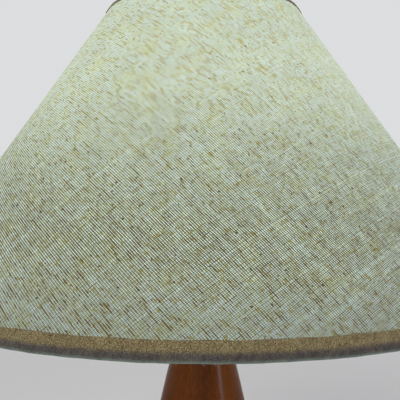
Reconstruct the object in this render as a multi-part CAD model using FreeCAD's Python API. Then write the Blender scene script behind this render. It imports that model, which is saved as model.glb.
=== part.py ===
"""Table lamp: a turned hardwood body, and a wide conical linen shade on a harp above a turn-key lampholder.

Millimetres, +Z up. The origin is at the centre of the base, on the surface that the lamp stands on.
The harp lies in the XZ plane, the switch knob points to -Y and the lead comes out of the body at +Y.
Each function below makes one sub-part, and the table at the end writes one STEP file for each.
"""

import math
import os

import FreeCAD
import Part

# --- wooden body ------------------------------------------------------------------------------
FELT_THICKNESS = 2.5
FOOT_RADIUS = 45.5
FOOT_CHAMFER = 1.5
BELLY_RADIUS = 50.0  # the widest ring of the body
BELLY_HEIGHT = 35.0
NECK_START_RADIUS = 18.5  # where the taper turns into the hollow neck
NECK_START_HEIGHT = 278.5
BODY_TOP = 304.0
CAVITY_WALL = 6.5  # wood left between the foot's edge and the cavity for the weight
WEIGHT_THICKNESS = 15.0
WEIGHT_GAP = 0.5  # weight to the cavity's side
WEIGHT_UNDERSIDE = 18.0  # leaves room below the weight for the nut and the lead

# --- threaded tube through the body ------------------------------------------------------------
ROD_RADIUS = 4.8
ROD_BORE_RADIUS = 3.3
ROD_GAP = 0.4  # tube to the bores that it passes through
THREAD_GAP = 0.1  # tube to the parts that screw onto it
ROD_BELOW_NUT = 2.8
WASHER_RADIUS = 11.0
WASHER_THICKNESS = 1.2
NUT_SIDES = 6
NUT_ACROSS_FLATS = 14.0
NUT_THICKNESS = 5.0

# --- lead inlet ---------------------------------------------------------------------------------
INLET_HEIGHT = 12.0
INLET_BORE_RADIUS = 3.5
BUSHING_RADIUS = 5.0
BUSHING_FLANGE_RADIUS = 7.5
BUSHING_FLANGE_THICKNESS = 2.5
BUSHING_FLANGE_ROUNDING = BUSHING_FLANGE_THICKNESS / 3
BUSHING_INSIDE = 1.0  # the barrel's end, inside the cavity
BUSHING_GAP = 0.1
INLET_SEAT_DEPTH = 3.0  # the flange's flat seat, measured in from the foot's edge line

# --- neck ---------------------------------------------------------------------------------------
NECK_CAP_HEIGHT = 9.0
NECK_CAP_OVERHANG = 1.0  # past the wood's own top
NECK_CAP_COLLAR = 3.0  # wall around the tube at the cap's top
NECK_CAP_RIM = 2.7  # upright edge at the cap's foot
NECK_CAP_LEDGE = 1.2  # level step inside that edge
NECK_CAP_LIP = 1.4  # upright edge at the cap's top
NECK_CAP_HOLLOW = 0.15

# --- lampholder ----------------------------------------------------------------------------------
BULB_THREAD_RADIUS = 13.0
BULB_GAP = 0.3  # bulb's thread to the screw shell
SCREW_SHELL_WALL = 0.4
SCREW_SHELL_LENGTH = 25.0
SCREW_SHELL_FLOOR_HOLE = 8.0
SHELL_LINER_GAP = 0.6
LINER_WALL = 0.5
BRASS_WALL = 0.8
SLIDE_GAP = 0.2  # liner to shell, and shell to cap
CAP_HEIGHT = 19.0
CAP_OVERLAP = 6.0  # how far the shell goes down inside the cap
CAP_COLLAR_HEIGHT = 5.0  # straight collar around the tube, with the set screw
CAP_FLARE_TOP = 11.8  # where the flare becomes the upright side
CAP_FLARE_BOW = 0.09
CAP_SHOULDER_WIDTH = 2.0  # level stretch inside, around the hub
SHELL_HEIGHT = 46.0
SHELL_BEAD_DROP = 5.0  # shell's mouth to the middle of its rolled bead
SHELL_BEAD_WIDTH = 3.0
SHELL_BEAD_RISE = 0.7
SHELL_FLOOR_GAP = 1.5  # hub to the hole in the shell's floor
LINER_SETBACK = 1.5  # liner below the shell's mouth
HUB_HEIGHT = 7.0
HUB_WALL = 2.8
BLOCK_HEIGHT = 14.0
BLOCK_GAP = 0.3  # insulating block to the paper liner
BLOCK_RECESS_MARGIN = 1.0  # recess under the block, past the hub and above it
SET_SCREW_RADIUS = 1.5
SET_SCREW_HEAD_RADIUS = 2.0
SET_SCREW_HEAD_LENGTH = 1.6
SET_SCREW_STANDOFF = 0.4  # collar to the screw's head
SCREW_SLOT_WIDTH = 0.6
TERMINAL_HEAD_RADIUS = 2.7
TERMINAL_HEAD_THICKNESS = 1.5
TERMINAL_SHANK_RADIUS = 1.4
TERMINAL_SHANK_LENGTH = 5.0
TERMINAL_SETBACK = 1.0  # head's face below the block's side
TERMINAL_BORE_ROOM = 0.2  # past the shank's end

# --- turn-key switch -----------------------------------------------------------------------------
SHAFT_RADIUS = 1.7
SHAFT_GAP = 0.08
SHAFT_HOLE_RADIUS = 2.6  # in the shell and its liner
CAM_RADIUS = 3.8
CAM_LENGTH = 5.0
CAM_FLAT = 2.66  # half the square across the cam
KNOB_RADIUS = 6.5
KNOB_LENGTH = 16.0
KNOB_COLLAR_LENGTH = 4.8
KNOB_COLLAR_RADIUS = 3.9
KNOB_BORE_DEPTH = 9.6
KNOB_FIT = 0.03  # shaft pressed into the knob
KNOB_STANDOFF = 4.5  # shell to knob
KNOB_BLADE_THICKNESS = 4.2
KNOB_BLADE_ROUNDING = KNOB_BLADE_THICKNESS / 4

# --- harp -----------------------------------------------------------------------------------------
SADDLE_THICKNESS = 1.2
SADDLE_WIDTH = 13.0
SADDLE_CORNER = SADDLE_WIDTH / 3
EAR_WIDTH = 6.0
EAR_CORNER = EAR_WIDTH / 4
EAR_HEIGHT = 15.0
EAR_OFFSET = 24.0  # lamp's axis to the middle of an ear
HARP_WIRE_RADIUS = 1.6
HARP_GAP = 0.3  # harp and sleeves to the saddle
HARP_HEIGHT = 165.0  # saddle's top to the stud's flange
HARP_HALF_WIDTH = 57.0
HARP_STRAIGHT = 36.0  # upright length that the sleeves slide on
HARP_FOOT_BEND = 15.0
HARP_SHOULDER_BEND = 28.0
HARP_SHOULDER_ANGLE = 55.0  # degrees of the long side bend
HARP_TOP_FLAT = 8.0  # half the level stretch through the top block
SLEEVE_WALL = 0.8
SLEEVE_WIRE_GAP = 0.2
SLEEVE_CORNER = 0.3
SLEEVE_HEIGHT = 14.0
BLOCK_TOP_RADIUS = 6.0
BLOCK_TOP_HEIGHT = 9.0
BLOCK_TOP_FOOT = 2.0  # metal under the wire
BLOCK_TOP_CHAMFER = 0.6
STUD_PIN_RADIUS = 2.4
STUD_PIN_LENGTH = 3.0
STUD_PIN_GAP = 0.05
STUD_FLANGE_RADIUS = 8.0
STUD_FLANGE_THICKNESS = 1.7
STUD_THREAD_RADIUS = 3.15
STUD_THREAD_LENGTH = 15.0
STUD_POINT = 0.8  # chamfer at the thread's end

# --- shade ----------------------------------------------------------------------------------------
SHADE_BOTTOM_RADIUS = 174.0
SHADE_TOP_RADIUS = 60.5
SHADE_HEIGHT = 166.0
SPIDER_DROP = 8.0  # the shade's top edge above the spider's washer
FABRIC_THICKNESS = 0.6
LINER_THICKNESS = 0.4
GLUE_GAP = 0.1
EDGE_INSET = 0.5  # fabric and liner stop this far short of the hem's fold
RING_WIRE_RADIUS = 1.5
RING_OFFSET = 0.8  # ring's centre in from the shade's edge, along the slope
HEM_THICKNESS = 0.5
BOTTOM_HEM_BAND = 6.3
TOP_HEM_BAND = 3.4
HEM_TURN_IN = 11.0
HEM_LEAVE = 1.7  # where the turn-in leaves the ring, along the slope
HEM_MEET = 5.3  # where it meets the liner
SEAM_TAPE_WIDTH = 12.0
SEAM_TAPE_THICKNESS = 0.2
SEAM_TAPE_END = 14.0

# --- spider and finial ----------------------------------------------------------------------------
SPIDER_WASHER_RADIUS = 14.0
SPIDER_WASHER_THICKNESS = 1.5
SPIDER_WASHER_HOLE = 5.3
SPIDER_WIRE_RADIUS = 1.6
SPIDER_ARMS = 3
SPIDER_FIRST_ARM = 90.0  # degrees, over the seam at the back
SPIDER_ARM_START = 9.6
SPIDER_LEVEL_END = 19.0
SPIDER_BEND = 12.0
SPIDER_WELD_GAP = 0.02  # arms to the washer and to the ring
FINIAL_BASE_RADIUS = 7.5
FINIAL_BASE_HEIGHT = 3.0
FINIAL_BASE_EDGE = 2.0  # upright edge of the base
FINIAL_BASE_HOLLOW = 0.19
FINIAL_BASE_COVE = 1.5  # rise of the hollow above the base's height
FINIAL_NECK_RADIUS = 4.4
FINIAL_NECK_HEIGHT = 9.0
FINIAL_BALL_RADIUS = 8.5
FINIAL_TIP_RADIUS = 2.2
FINIAL_TIP_HEIGHT = 4.0
FINIAL_BORE_ROOM = 1.0  # past the stud's end
FINIAL_GAP = 0.15  # stud's thread to the finial's bore
SEAT_GAP = 0.3  # between faces of two bodies that rest on each other

# --- bulb -----------------------------------------------------------------------------------------
BULB_RADIUS = 30.0
BULB_HOUSING_HEIGHT = 30.0
BULB_WALL = 1.5
BULB_BASE_WALL = 0.4
BULB_BASE_LENGTH = 22.0
BULB_BASE_TAPER = 2.0  # height of the base's sloped edge
BULB_NECK_OVERHANG = 0.5  # housing past the base's thread
BULB_NECK_HEIGHT = 4.0  # upright part of the housing
BULB_PLUG_DEPTH = 7.0  # housing inside the base
BULB_HOUSING_HOLLOW = 0.058
BULB_DOME_WAIST = 21.0  # rim to the dome's widest ring
BULB_DOME_BOW = 0.03
TIP_THICKNESS = 0.9
TIP_RADIUS = 4.8
INSULATOR_HEIGHT = 2.8
INSULATOR_TOP_RADIUS = 11.0
INSULATOR_MARGIN = 0.6  # insulator past the tip contact
LED_BOARD_THICKNESS = 1.6
LED_REBATE = 2.0
LED_LEDGE = 1.2  # width of the rebate's floor under the board
LED_COUNT = 10
LED_RING_RADIUS = 16.0
LED_SIZE = (2.8, 3.5, 0.7)
DRIVER_SIDE_GAP = 1.0  # driver board to the housing
DRIVER_DEPTH = 6.0  # driver board inside the screw base
CONTACT_THICKNESS = 0.5
CONTACT_RISE = 3.0
CONTACT_WIDTH = 4.8
CONTACT_REACH = 5.8  # lamp's axis to the contact's riser

# --- derived sizes ---------------------------------------------------------------------------------
AXIS = FreeCAD.Vector(0, 0, 1)
ORIGIN = FreeCAD.Vector(0, 0, 0)
FULL_TURN = 360.0
TOOL_REACH = 1.0  # how far a cutting body runs past the face that it cuts
NEAR = 0.01

cavity_radius = FOOT_RADIUS - CAVITY_WALL
cavity_top = WEIGHT_UNDERSIDE + WEIGHT_THICKNESS
rod_hole = ROD_RADIUS + ROD_GAP
nut_top = WEIGHT_UNDERSIDE - WASHER_THICKNESS
rod_bottom = nut_top - NUT_THICKNESS - ROD_BELOW_NUT

saddle_bottom = BODY_TOP + NECK_CAP_HEIGHT
saddle_top = saddle_bottom + SADDLE_THICKNESS
cap_bottom = saddle_top
cap_top = cap_bottom + CAP_HEIGHT
hub_radius = ROD_RADIUS + THREAD_GAP + HUB_WALL
rod_top = cap_bottom + HUB_HEIGHT
shell_bottom = cap_top - CAP_OVERLAP
shell_top = shell_bottom + SHELL_HEIGHT

screw_shell_inner = BULB_THREAD_RADIUS + BULB_GAP
screw_shell_outer = screw_shell_inner + SCREW_SHELL_WALL
liner_inner = screw_shell_outer + SHELL_LINER_GAP
liner_outer = liner_inner + LINER_WALL
shell_inner = liner_outer + SLIDE_GAP
shell_outer = shell_inner + BRASS_WALL
cap_inner = shell_outer + SLIDE_GAP
cap_outer = cap_inner + BRASS_WALL
block_bottom = shell_bottom + BRASS_WALL + SLIDE_GAP
block_top = block_bottom + BLOCK_HEIGHT
block_radius = liner_inner - BLOCK_GAP
shaft_height = block_bottom + BLOCK_HEIGHT / 2

tip_bottom = block_top + CONTACT_RISE + SEAT_GAP
insulator_bottom = tip_bottom + TIP_THICKNESS
base_bottom = insulator_bottom + INSULATOR_HEIGHT
base_top = base_bottom + BULB_BASE_LENGTH
housing_top = base_top + BULB_HOUSING_HEIGHT
housing_radius = BULB_RADIUS - BULB_WALL
board_bottom = housing_top - LED_REBATE
board_radius = housing_radius - BULB_WALL
plug_radius = BULB_THREAD_RADIUS - BULB_BASE_WALL - THREAD_GAP  # housing inside the base

foot_x = EAR_OFFSET + SADDLE_THICKNESS / 2 + HARP_GAP + HARP_WIRE_RADIUS
foot_z = saddle_top + HARP_GAP
flange_bottom = saddle_top + HARP_HEIGHT
top_block_top = flange_bottom - SEAT_GAP
top_block_bottom = top_block_top - BLOCK_TOP_HEIGHT
harp_top_z = top_block_bottom + BLOCK_TOP_FOOT + HARP_WIRE_RADIUS
flange_top = flange_bottom + STUD_FLANGE_THICKNESS
washer_top = flange_top + SPIDER_WASHER_THICKNESS
finial_bottom = washer_top + SEAT_GAP

shade_rim = washer_top + SPIDER_DROP - SHADE_HEIGHT  # the fabric's lower edge above the table
shade_slope = math.atan2(SHADE_BOTTOM_RADIUS - SHADE_TOP_RADIUS, SHADE_HEIGHT)
shade_length = math.hypot(SHADE_BOTTOM_RADIUS - SHADE_TOP_RADIUS, SHADE_HEIGHT)
wall_depth = FABRIC_THICKNESS + GLUE_GAP + LINER_THICKNESS
ring_depth = wall_depth + GLUE_GAP + RING_WIRE_RADIUS


# --- helpers ----------------------------------------------------------------------------------------
def rz(radius, height):
    """A point of a half section, in the XZ plane."""
    return FreeCAD.Vector(radius, 0, height)


def line(a, b):
    return Part.LineSegment(a, b).toShape()


def arc(a, through, b):
    return Part.Arc(a, through, b).toShape()


def turned(edges):
    """Turns a closed outline in the XZ plane about the lamp's axis."""
    return Part.Face(Part.Wire(edges)).revolve(ORIGIN, AXIS, FULL_TURN)


def turned_points(points):
    """Turns an outline given as corners, each a radius and a height."""
    corners = [rz(radius, height) for radius, height in points]
    edges = [line(a, b) for a, b in zip(corners, corners[1:] + corners[:1])]
    return turned(edges)


def cylinder(radius, bottom, top):
    return Part.makeCylinder(radius, top - bottom, rz(0, bottom))


def tube(outer, inner, bottom, top):
    return cylinder(outer, bottom, top).cut(cylinder(inner, bottom - TOOL_REACH, top + TOOL_REACH))


def rod_along(start, end, radius):
    way = end - start
    return Part.makeCylinder(radius, way.Length, start, way)


def box(x0, x1, y0, y1, z0, z1):
    return Part.makeBox(x1 - x0, y1 - y0, z1 - z0, FreeCAD.Vector(x0, y0, z0))


def bulge(start, end, radius, side):
    """The middle of an arc of that radius from start to end, on the side given by +1 or -1."""
    chord = end - start
    middle = (start + end) * 0.5
    rise = radius - math.sqrt(radius**2 - (chord.Length / 2) ** 2)
    across = FreeCAD.Vector(chord.z, 0, -chord.x).normalize()
    return middle + across * (side * rise)


def bowed(start, end, bow):
    """An arc whose middle stands out, to the right of its way, by that share of its chord."""
    chord = end - start
    return arc(start, (start + end) * 0.5 + FreeCAD.Vector(chord.z, 0, -chord.x) * bow, end)


def tangent_radius(width, height):
    """The arc that starts upright and ends that far in and that far along."""
    return (width**2 + height**2) / (2 * width)


def slope_point(along, out):
    """A point of the shade's wall: along the slope from the lower edge, and out from its face."""
    radius = SHADE_BOTTOM_RADIUS - along * math.sin(shade_slope) + out * math.cos(shade_slope)
    height = shade_rim + along * math.cos(shade_slope) + out * math.sin(shade_slope)
    return rz(radius, height)


# --- body and base ------------------------------------------------------------------------------------
def neck_lean():
    """How far the taper leans inwards, in radians, where the neck starts."""
    width = BELLY_RADIUS - NECK_START_RADIUS
    height = NECK_START_HEIGHT - BELLY_HEIGHT
    return math.asin(height / tangent_radius(width, height))


def neck_radius():
    """The wood's own top: the hollow neck starts along the taper's lean and ends upright."""
    hollow = (BODY_TOP - NECK_START_HEIGHT) / math.sin(neck_lean())
    return NECK_START_RADIUS - hollow * (1 - math.cos(neck_lean()))


def wood_body():
    foot = rz(FOOT_RADIUS, FELT_THICKNESS + FOOT_CHAMFER)
    belly = rz(BELLY_RADIUS, BELLY_HEIGHT)
    start = rz(NECK_START_RADIUS, NECK_START_HEIGHT)
    neck = rz(neck_radius(), BODY_TOP)
    low = tangent_radius(belly.x - foot.x, belly.z - foot.z)
    high = tangent_radius(belly.x - start.x, start.z - belly.z)
    hollow = (BODY_TOP - NECK_START_HEIGHT) / math.sin(neck_lean())
    foot_edge = rz(FOOT_RADIUS - FOOT_CHAMFER, FELT_THICKNESS)
    cavity_mouth = rz(cavity_radius, FELT_THICKNESS)
    cavity_corner = rz(cavity_radius, cavity_top)
    bore_low = rz(rod_hole, cavity_top)
    bore_high = rz(rod_hole, BODY_TOP)
    outline = [
        line(bore_low, cavity_corner),
        line(cavity_corner, cavity_mouth),
        line(cavity_mouth, foot_edge),
        line(foot_edge, foot),
        arc(foot, bulge(foot, belly, low, 1), belly),
        arc(belly, bulge(belly, start, high, 1), start),
        arc(start, bulge(start, neck, hollow, -1), neck),
        line(neck, bore_high),
        line(bore_high, bore_low),
    ]
    body = turned(outline)
    inside = FreeCAD.Vector(0, cavity_radius - BUSHING_INSIDE - TOOL_REACH, INLET_HEIGHT)
    outside = FreeCAD.Vector(0, BELLY_RADIUS + TOOL_REACH, INLET_HEIGHT)
    seat = FreeCAD.Vector(0, inlet_seat(), INLET_HEIGHT)
    body = body.cut(rod_along(inside, outside, BUSHING_RADIUS + BUSHING_GAP))
    return body.cut(rod_along(seat, outside, BUSHING_FLANGE_RADIUS + BUSHING_GAP))


def inlet_seat():
    """The flat that the bushing's flange sits on, as a distance from the lamp's axis."""
    return BELLY_RADIUS - INLET_SEAT_DEPTH - BUSHING_FLANGE_THICKNESS / 2


def base_weight():
    return tube(cavity_radius - WEIGHT_GAP, rod_hole, WEIGHT_UNDERSIDE, cavity_top)


def felt_pad():
    return cylinder(FOOT_RADIUS - FOOT_CHAMFER, 0, FELT_THICKNESS)


def threaded_rod():
    return tube(ROD_RADIUS, ROD_BORE_RADIUS, rod_bottom, rod_top)


def rod_washer():
    return tube(WASHER_RADIUS, rod_hole, nut_top, WEIGHT_UNDERSIDE)


def rod_nut():
    corner = NUT_ACROSS_FLATS / 2 / math.cos(math.pi / NUT_SIDES)
    bottom = nut_top - NUT_THICKNESS
    turns = [math.tau * i / NUT_SIDES for i in range(NUT_SIDES + 1)]
    points = [FreeCAD.Vector(corner * math.cos(a), corner * math.sin(a), bottom) for a in turns]
    prism = Part.Face(Part.makePolygon(points)).extrude(AXIS * NUT_THICKNESS)
    return prism.cut(cylinder(ROD_RADIUS + THREAD_GAP, bottom - TOOL_REACH, nut_top + TOOL_REACH))


def cord_bushing():
    inner_end = FreeCAD.Vector(0, cavity_radius - BUSHING_INSIDE, INLET_HEIGHT)
    seat = FreeCAD.Vector(0, inlet_seat(), INLET_HEIGHT)
    outer_end = seat + FreeCAD.Vector(0, BUSHING_FLANGE_THICKNESS, 0)
    barrel = rod_along(inner_end, outer_end, BUSHING_RADIUS)
    flange = rod_along(seat, outer_end, BUSHING_FLANGE_RADIUS)
    rim = [e for e in flange.Edges if abs(e.CenterOfMass.y - outer_end.y) < NEAR]
    flange = flange.makeFillet(BUSHING_FLANGE_ROUNDING, rim[:1])
    past = FreeCAD.Vector(0, TOOL_REACH, 0)
    bore = rod_along(inner_end - past, outer_end + past, INLET_BORE_RADIUS)
    return barrel.fuse(flange).cut(bore).removeSplitter()


# --- neck and lampholder ------------------------------------------------------------------------------
def neck_cap():
    bore = ROD_RADIUS + THREAD_GAP
    wide = neck_radius() + NECK_CAP_OVERHANG
    narrow = ROD_RADIUS + THREAD_GAP + NECK_CAP_COLLAR
    shoulder = rz(narrow, saddle_bottom - NECK_CAP_LIP)
    rim = rz(wide, BODY_TOP + NECK_CAP_RIM)
    ledge = rz(wide - NECK_CAP_LEDGE, rim.z)
    outline = [
        line(rz(bore, BODY_TOP), rz(wide, BODY_TOP)),
        line(rz(wide, BODY_TOP), rim),
        line(rim, ledge),
        bowed(ledge, shoulder, -NECK_CAP_HOLLOW),
        line(shoulder, rz(narrow, saddle_bottom)),
        line(rz(narrow, saddle_bottom), rz(bore, saddle_bottom)),
        line(rz(bore, saddle_bottom), rz(bore, BODY_TOP)),
    ]
    return turned(outline)


def harp_saddle():
    half = EAR_OFFSET + SADDLE_THICKNESS / 2
    reach = foot_x + HARP_WIRE_RADIUS + SLEEVE_WALL
    strap = box(-reach, reach, -SADDLE_WIDTH / 2, SADDLE_WIDTH / 2, saddle_bottom, saddle_top)
    upright = [e for e in strap.Edges if abs(e.BoundBox.ZLength - SADDLE_THICKNESS) < NEAR]
    strap = strap.makeFillet(SADDLE_CORNER, upright)
    for side in (-1, 1):
        inner, outer = sorted((side * (half - SADDLE_THICKNESS), side * half))
        ear = box(inner, outer, -EAR_WIDTH / 2, EAR_WIDTH / 2, saddle_bottom, saddle_top + EAR_HEIGHT)
        across = [e for e in ear.Edges if abs(e.BoundBox.XLength - SADDLE_THICKNESS) < NEAR]
        top = [e for e in across if e.CenterOfMass.z > saddle_top]
        strap = strap.fuse(ear.makeFillet(EAR_CORNER, top))
    bore = cylinder(ROD_RADIUS + THREAD_GAP, saddle_bottom - TOOL_REACH, saddle_top + TOOL_REACH)
    return strap.cut(bore)


def socket_cap():
    bore = ROD_RADIUS + THREAD_GAP
    hub_top = cap_bottom + HUB_HEIGHT
    start = rz(hub_radius, cap_bottom + CAP_COLLAR_HEIGHT)
    side_foot = rz(cap_outer, cap_bottom + CAP_FLARE_TOP)
    inner_start = rz(hub_radius + CAP_SHOULDER_WIDTH, start.z + 2 * BRASS_WALL)
    inner_foot = rz(cap_inner, side_foot.z + BRASS_WALL)
    outline = [
        line(rz(bore, cap_bottom), rz(hub_radius, cap_bottom)),
        line(rz(hub_radius, cap_bottom), start),
        bowed(start, side_foot, CAP_FLARE_BOW),
        line(side_foot, rz(cap_outer, cap_top)),
        line(rz(cap_outer, cap_top), rz(cap_inner, cap_top)),
        line(rz(cap_inner, cap_top), inner_foot),
        bowed(inner_foot, inner_start, -CAP_FLARE_BOW),
        line(inner_start, rz(hub_radius, inner_start.z)),
        line(rz(hub_radius, inner_start.z), rz(hub_radius, hub_top)),
        line(rz(hub_radius, hub_top), rz(bore, hub_top)),
        line(rz(bore, hub_top), rz(bore, cap_bottom)),
    ]
    hole = rod_along(
        FreeCAD.Vector(0, ROD_RADIUS - TOOL_REACH, set_screw_height()),
        FreeCAD.Vector(0, hub_radius + TOOL_REACH, set_screw_height()),
        SET_SCREW_RADIUS + THREAD_GAP,
    )
    return turned(outline).cut(hole)


def set_screw_height():
    return cap_bottom + CAP_COLLAR_HEIGHT / 2


def socket_set_screw():
    height = set_screw_height()
    tip = FreeCAD.Vector(0, ROD_RADIUS + THREAD_GAP, height)
    neck = FreeCAD.Vector(0, hub_radius + SET_SCREW_STANDOFF, height)
    end = neck + FreeCAD.Vector(0, SET_SCREW_HEAD_LENGTH, 0)
    head = rod_along(neck, end, SET_SCREW_HEAD_RADIUS)
    reach = SET_SCREW_HEAD_RADIUS + TOOL_REACH
    half = SCREW_SLOT_WIDTH / 2
    floor = end.y - SET_SCREW_HEAD_LENGTH / 2
    slot = box(-reach, reach, floor, end.y + TOOL_REACH, height - half, height + half)
    return rod_along(tip, end, SET_SCREW_RADIUS).fuse(head).cut(slot).removeSplitter()


def terminal_screw(side, head_radius, shank_radius, bore_room, mouth):
    """One terminal screw, on the +X or -X side of the block, or the room that it needs there."""
    outer = FreeCAD.Vector(side * (block_radius - TERMINAL_SETBACK), 0, shaft_height)
    under = outer - FreeCAD.Vector(side * TERMINAL_HEAD_THICKNESS, 0, 0)
    inner = under - FreeCAD.Vector(side * (TERMINAL_SHANK_LENGTH + bore_room), 0, 0)
    head = rod_along(under, outer + FreeCAD.Vector(side * mouth, 0, 0), head_radius)
    return rod_along(inner, outer, shank_radius).fuse(head)


def socket_terminal_screws():
    screws = []
    half = SCREW_SLOT_WIDTH / 2
    face = block_radius - TERMINAL_SETBACK
    for side in (-1, 1):
        screw = terminal_screw(side, TERMINAL_HEAD_RADIUS, TERMINAL_SHANK_RADIUS, 0, 0)
        low, high = sorted((side * (face - SCREW_SLOT_WIDTH), side * (face + TOOL_REACH)))
        reach = TERMINAL_HEAD_RADIUS + TOOL_REACH
        slot = box(low, high, -half, half, shaft_height - reach, shaft_height + reach)
        screws.append(screw.cut(slot).removeSplitter())
    return Part.makeCompound(screws)


def socket_interior():
    block = cylinder(block_radius, block_bottom, block_top)
    recess_top = block_bottom + 2 * BLOCK_RECESS_MARGIN
    recess_radius = hub_radius + BLOCK_RECESS_MARGIN
    block = block.cut(cylinder(recess_radius, block_bottom - TOOL_REACH, recess_top))
    middle = FreeCAD.Vector(0, 0, shaft_height)
    way_out = FreeCAD.Vector(0, -block_radius - TOOL_REACH, shaft_height)
    block = block.cut(rod_along(middle, way_out, SHAFT_RADIUS + SHAFT_GAP))
    cam_start = FreeCAD.Vector(0, SEAT_GAP, shaft_height)
    cam_end = FreeCAD.Vector(0, -CAM_LENGTH - SEAT_GAP, shaft_height)
    block = block.cut(rod_along(cam_start, cam_end, CAM_RADIUS + SEAT_GAP))
    head_room = TERMINAL_HEAD_RADIUS + THREAD_GAP
    shank_room = TERMINAL_SHANK_RADIUS + THREAD_GAP
    mouth = TERMINAL_SETBACK + TOOL_REACH
    for side in (-1, 1):
        block = block.cut(terminal_screw(side, head_room, shank_room, TERMINAL_BORE_ROOM, mouth))
    return block


def socket_screw_shell():
    return turned_points(
        [
            (SCREW_SHELL_FLOOR_HOLE, block_top),
            (screw_shell_outer, block_top),
            (screw_shell_outer, block_top + SCREW_SHELL_LENGTH),
            (screw_shell_inner, block_top + SCREW_SHELL_LENGTH),
            (screw_shell_inner, block_top + SCREW_SHELL_WALL),
            (SCREW_SHELL_FLOOR_HOLE, block_top + SCREW_SHELL_WALL),
        ]
    )


def socket_centre_contact():
    """A bent tongue: a foot on the block, a riser and a level finger under the bulb's tip."""
    low, high = block_top, block_top + CONTACT_RISE
    half = CONTACT_WIDTH / 2
    foot = box(-half, half, -CONTACT_REACH, 0, low, low + CONTACT_THICKNESS)
    riser = box(-half, half, -CONTACT_REACH, -CONTACT_REACH + CONTACT_THICKNESS, low, high)
    finger = box(-half, half, -CONTACT_REACH, half, high - CONTACT_THICKNESS, high)
    return foot.fuse(riser).fuse(finger).removeSplitter()


def shaft_hole():
    """The switch shaft's hole through the shell and its liner."""
    inner = FreeCAD.Vector(0, -liner_inner + TOOL_REACH, shaft_height)
    outer = FreeCAD.Vector(0, -cap_outer - TOOL_REACH, shaft_height)
    return rod_along(inner, outer, SHAFT_HOLE_RADIUS)


def socket_liner():
    return tube(liner_outer, liner_inner, block_bottom, shell_top - LINER_SETBACK).cut(shaft_hole())


def socket_shell():
    """The outer shell, with a floor that carries the block and a rolled bead near its mouth."""
    bead = shell_top - SHELL_BEAD_DROP
    bead_low = rz(shell_outer, bead - SHELL_BEAD_WIDTH / 2)
    bead_high = rz(shell_outer, bead + SHELL_BEAD_WIDTH / 2)
    floor_hole = hub_radius + SHELL_FLOOR_GAP
    outline = [
        line(rz(floor_hole, shell_bottom), rz(shell_outer, shell_bottom)),
        line(rz(shell_outer, shell_bottom), bead_low),
        arc(bead_low, rz(shell_outer + SHELL_BEAD_RISE, bead), bead_high),
        line(bead_high, rz(shell_outer, shell_top)),
        line(rz(shell_outer, shell_top), rz(shell_inner, shell_top)),
        line(rz(shell_inner, shell_top), rz(shell_inner, shell_bottom + BRASS_WALL)),
        line(rz(shell_inner, shell_bottom + BRASS_WALL), rz(floor_hole, shell_bottom + BRASS_WALL)),
        line(rz(floor_hole, shell_bottom + BRASS_WALL), rz(floor_hole, shell_bottom)),
    ]
    return turned(outline).cut(shaft_hole())


# --- switch -------------------------------------------------------------------------------------------
def knob_start():
    return -(shell_outer + KNOB_STANDOFF)


def switch_shaft():
    start = FreeCAD.Vector(0, -CAM_LENGTH, shaft_height)
    end = FreeCAD.Vector(0, knob_start() - KNOB_BORE_DEPTH, shaft_height)
    return rod_along(start, end, SHAFT_RADIUS)


def switch_cam():
    back = FreeCAD.Vector(0, 0, shaft_height)
    front = FreeCAD.Vector(0, -CAM_LENGTH, shaft_height)
    low, high = shaft_height - CAM_FLAT, shaft_height + CAM_FLAT
    square = box(-CAM_FLAT, CAM_FLAT, front.y - TOOL_REACH, back.y + TOOL_REACH, low, high)
    return rod_along(back, front, CAM_RADIUS).common(square)


def switch_knob():
    """A round collar that flattens to a blade for finger and thumb."""

    def axis_at(y):
        return FreeCAD.Vector(0, y, shaft_height)

    start = knob_start()
    collar_end = start - KNOB_COLLAR_LENGTH
    end = start - KNOB_LENGTH
    collar = rod_along(axis_at(start), axis_at(collar_end), KNOB_COLLAR_RADIUS)
    half = KNOB_BLADE_THICKNESS / 2
    slab = box(-half, half, end, collar_end, shaft_height - KNOB_RADIUS, shaft_height + KNOB_RADIUS)
    blade = rod_along(axis_at(collar_end), axis_at(end), KNOB_RADIUS).common(slab)
    ends = [e for e in blade.Edges if abs(e.CenterOfMass.y - end) < NEAR]
    blade = blade.makeFillet(KNOB_BLADE_ROUNDING, ends)
    bore_end = axis_at(start - KNOB_BORE_DEPTH - THREAD_GAP)
    bore = rod_along(axis_at(start + TOOL_REACH), bore_end, SHAFT_RADIUS + KNOB_FIT)
    return collar.fuse(blade).cut(bore).removeSplitter()


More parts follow.
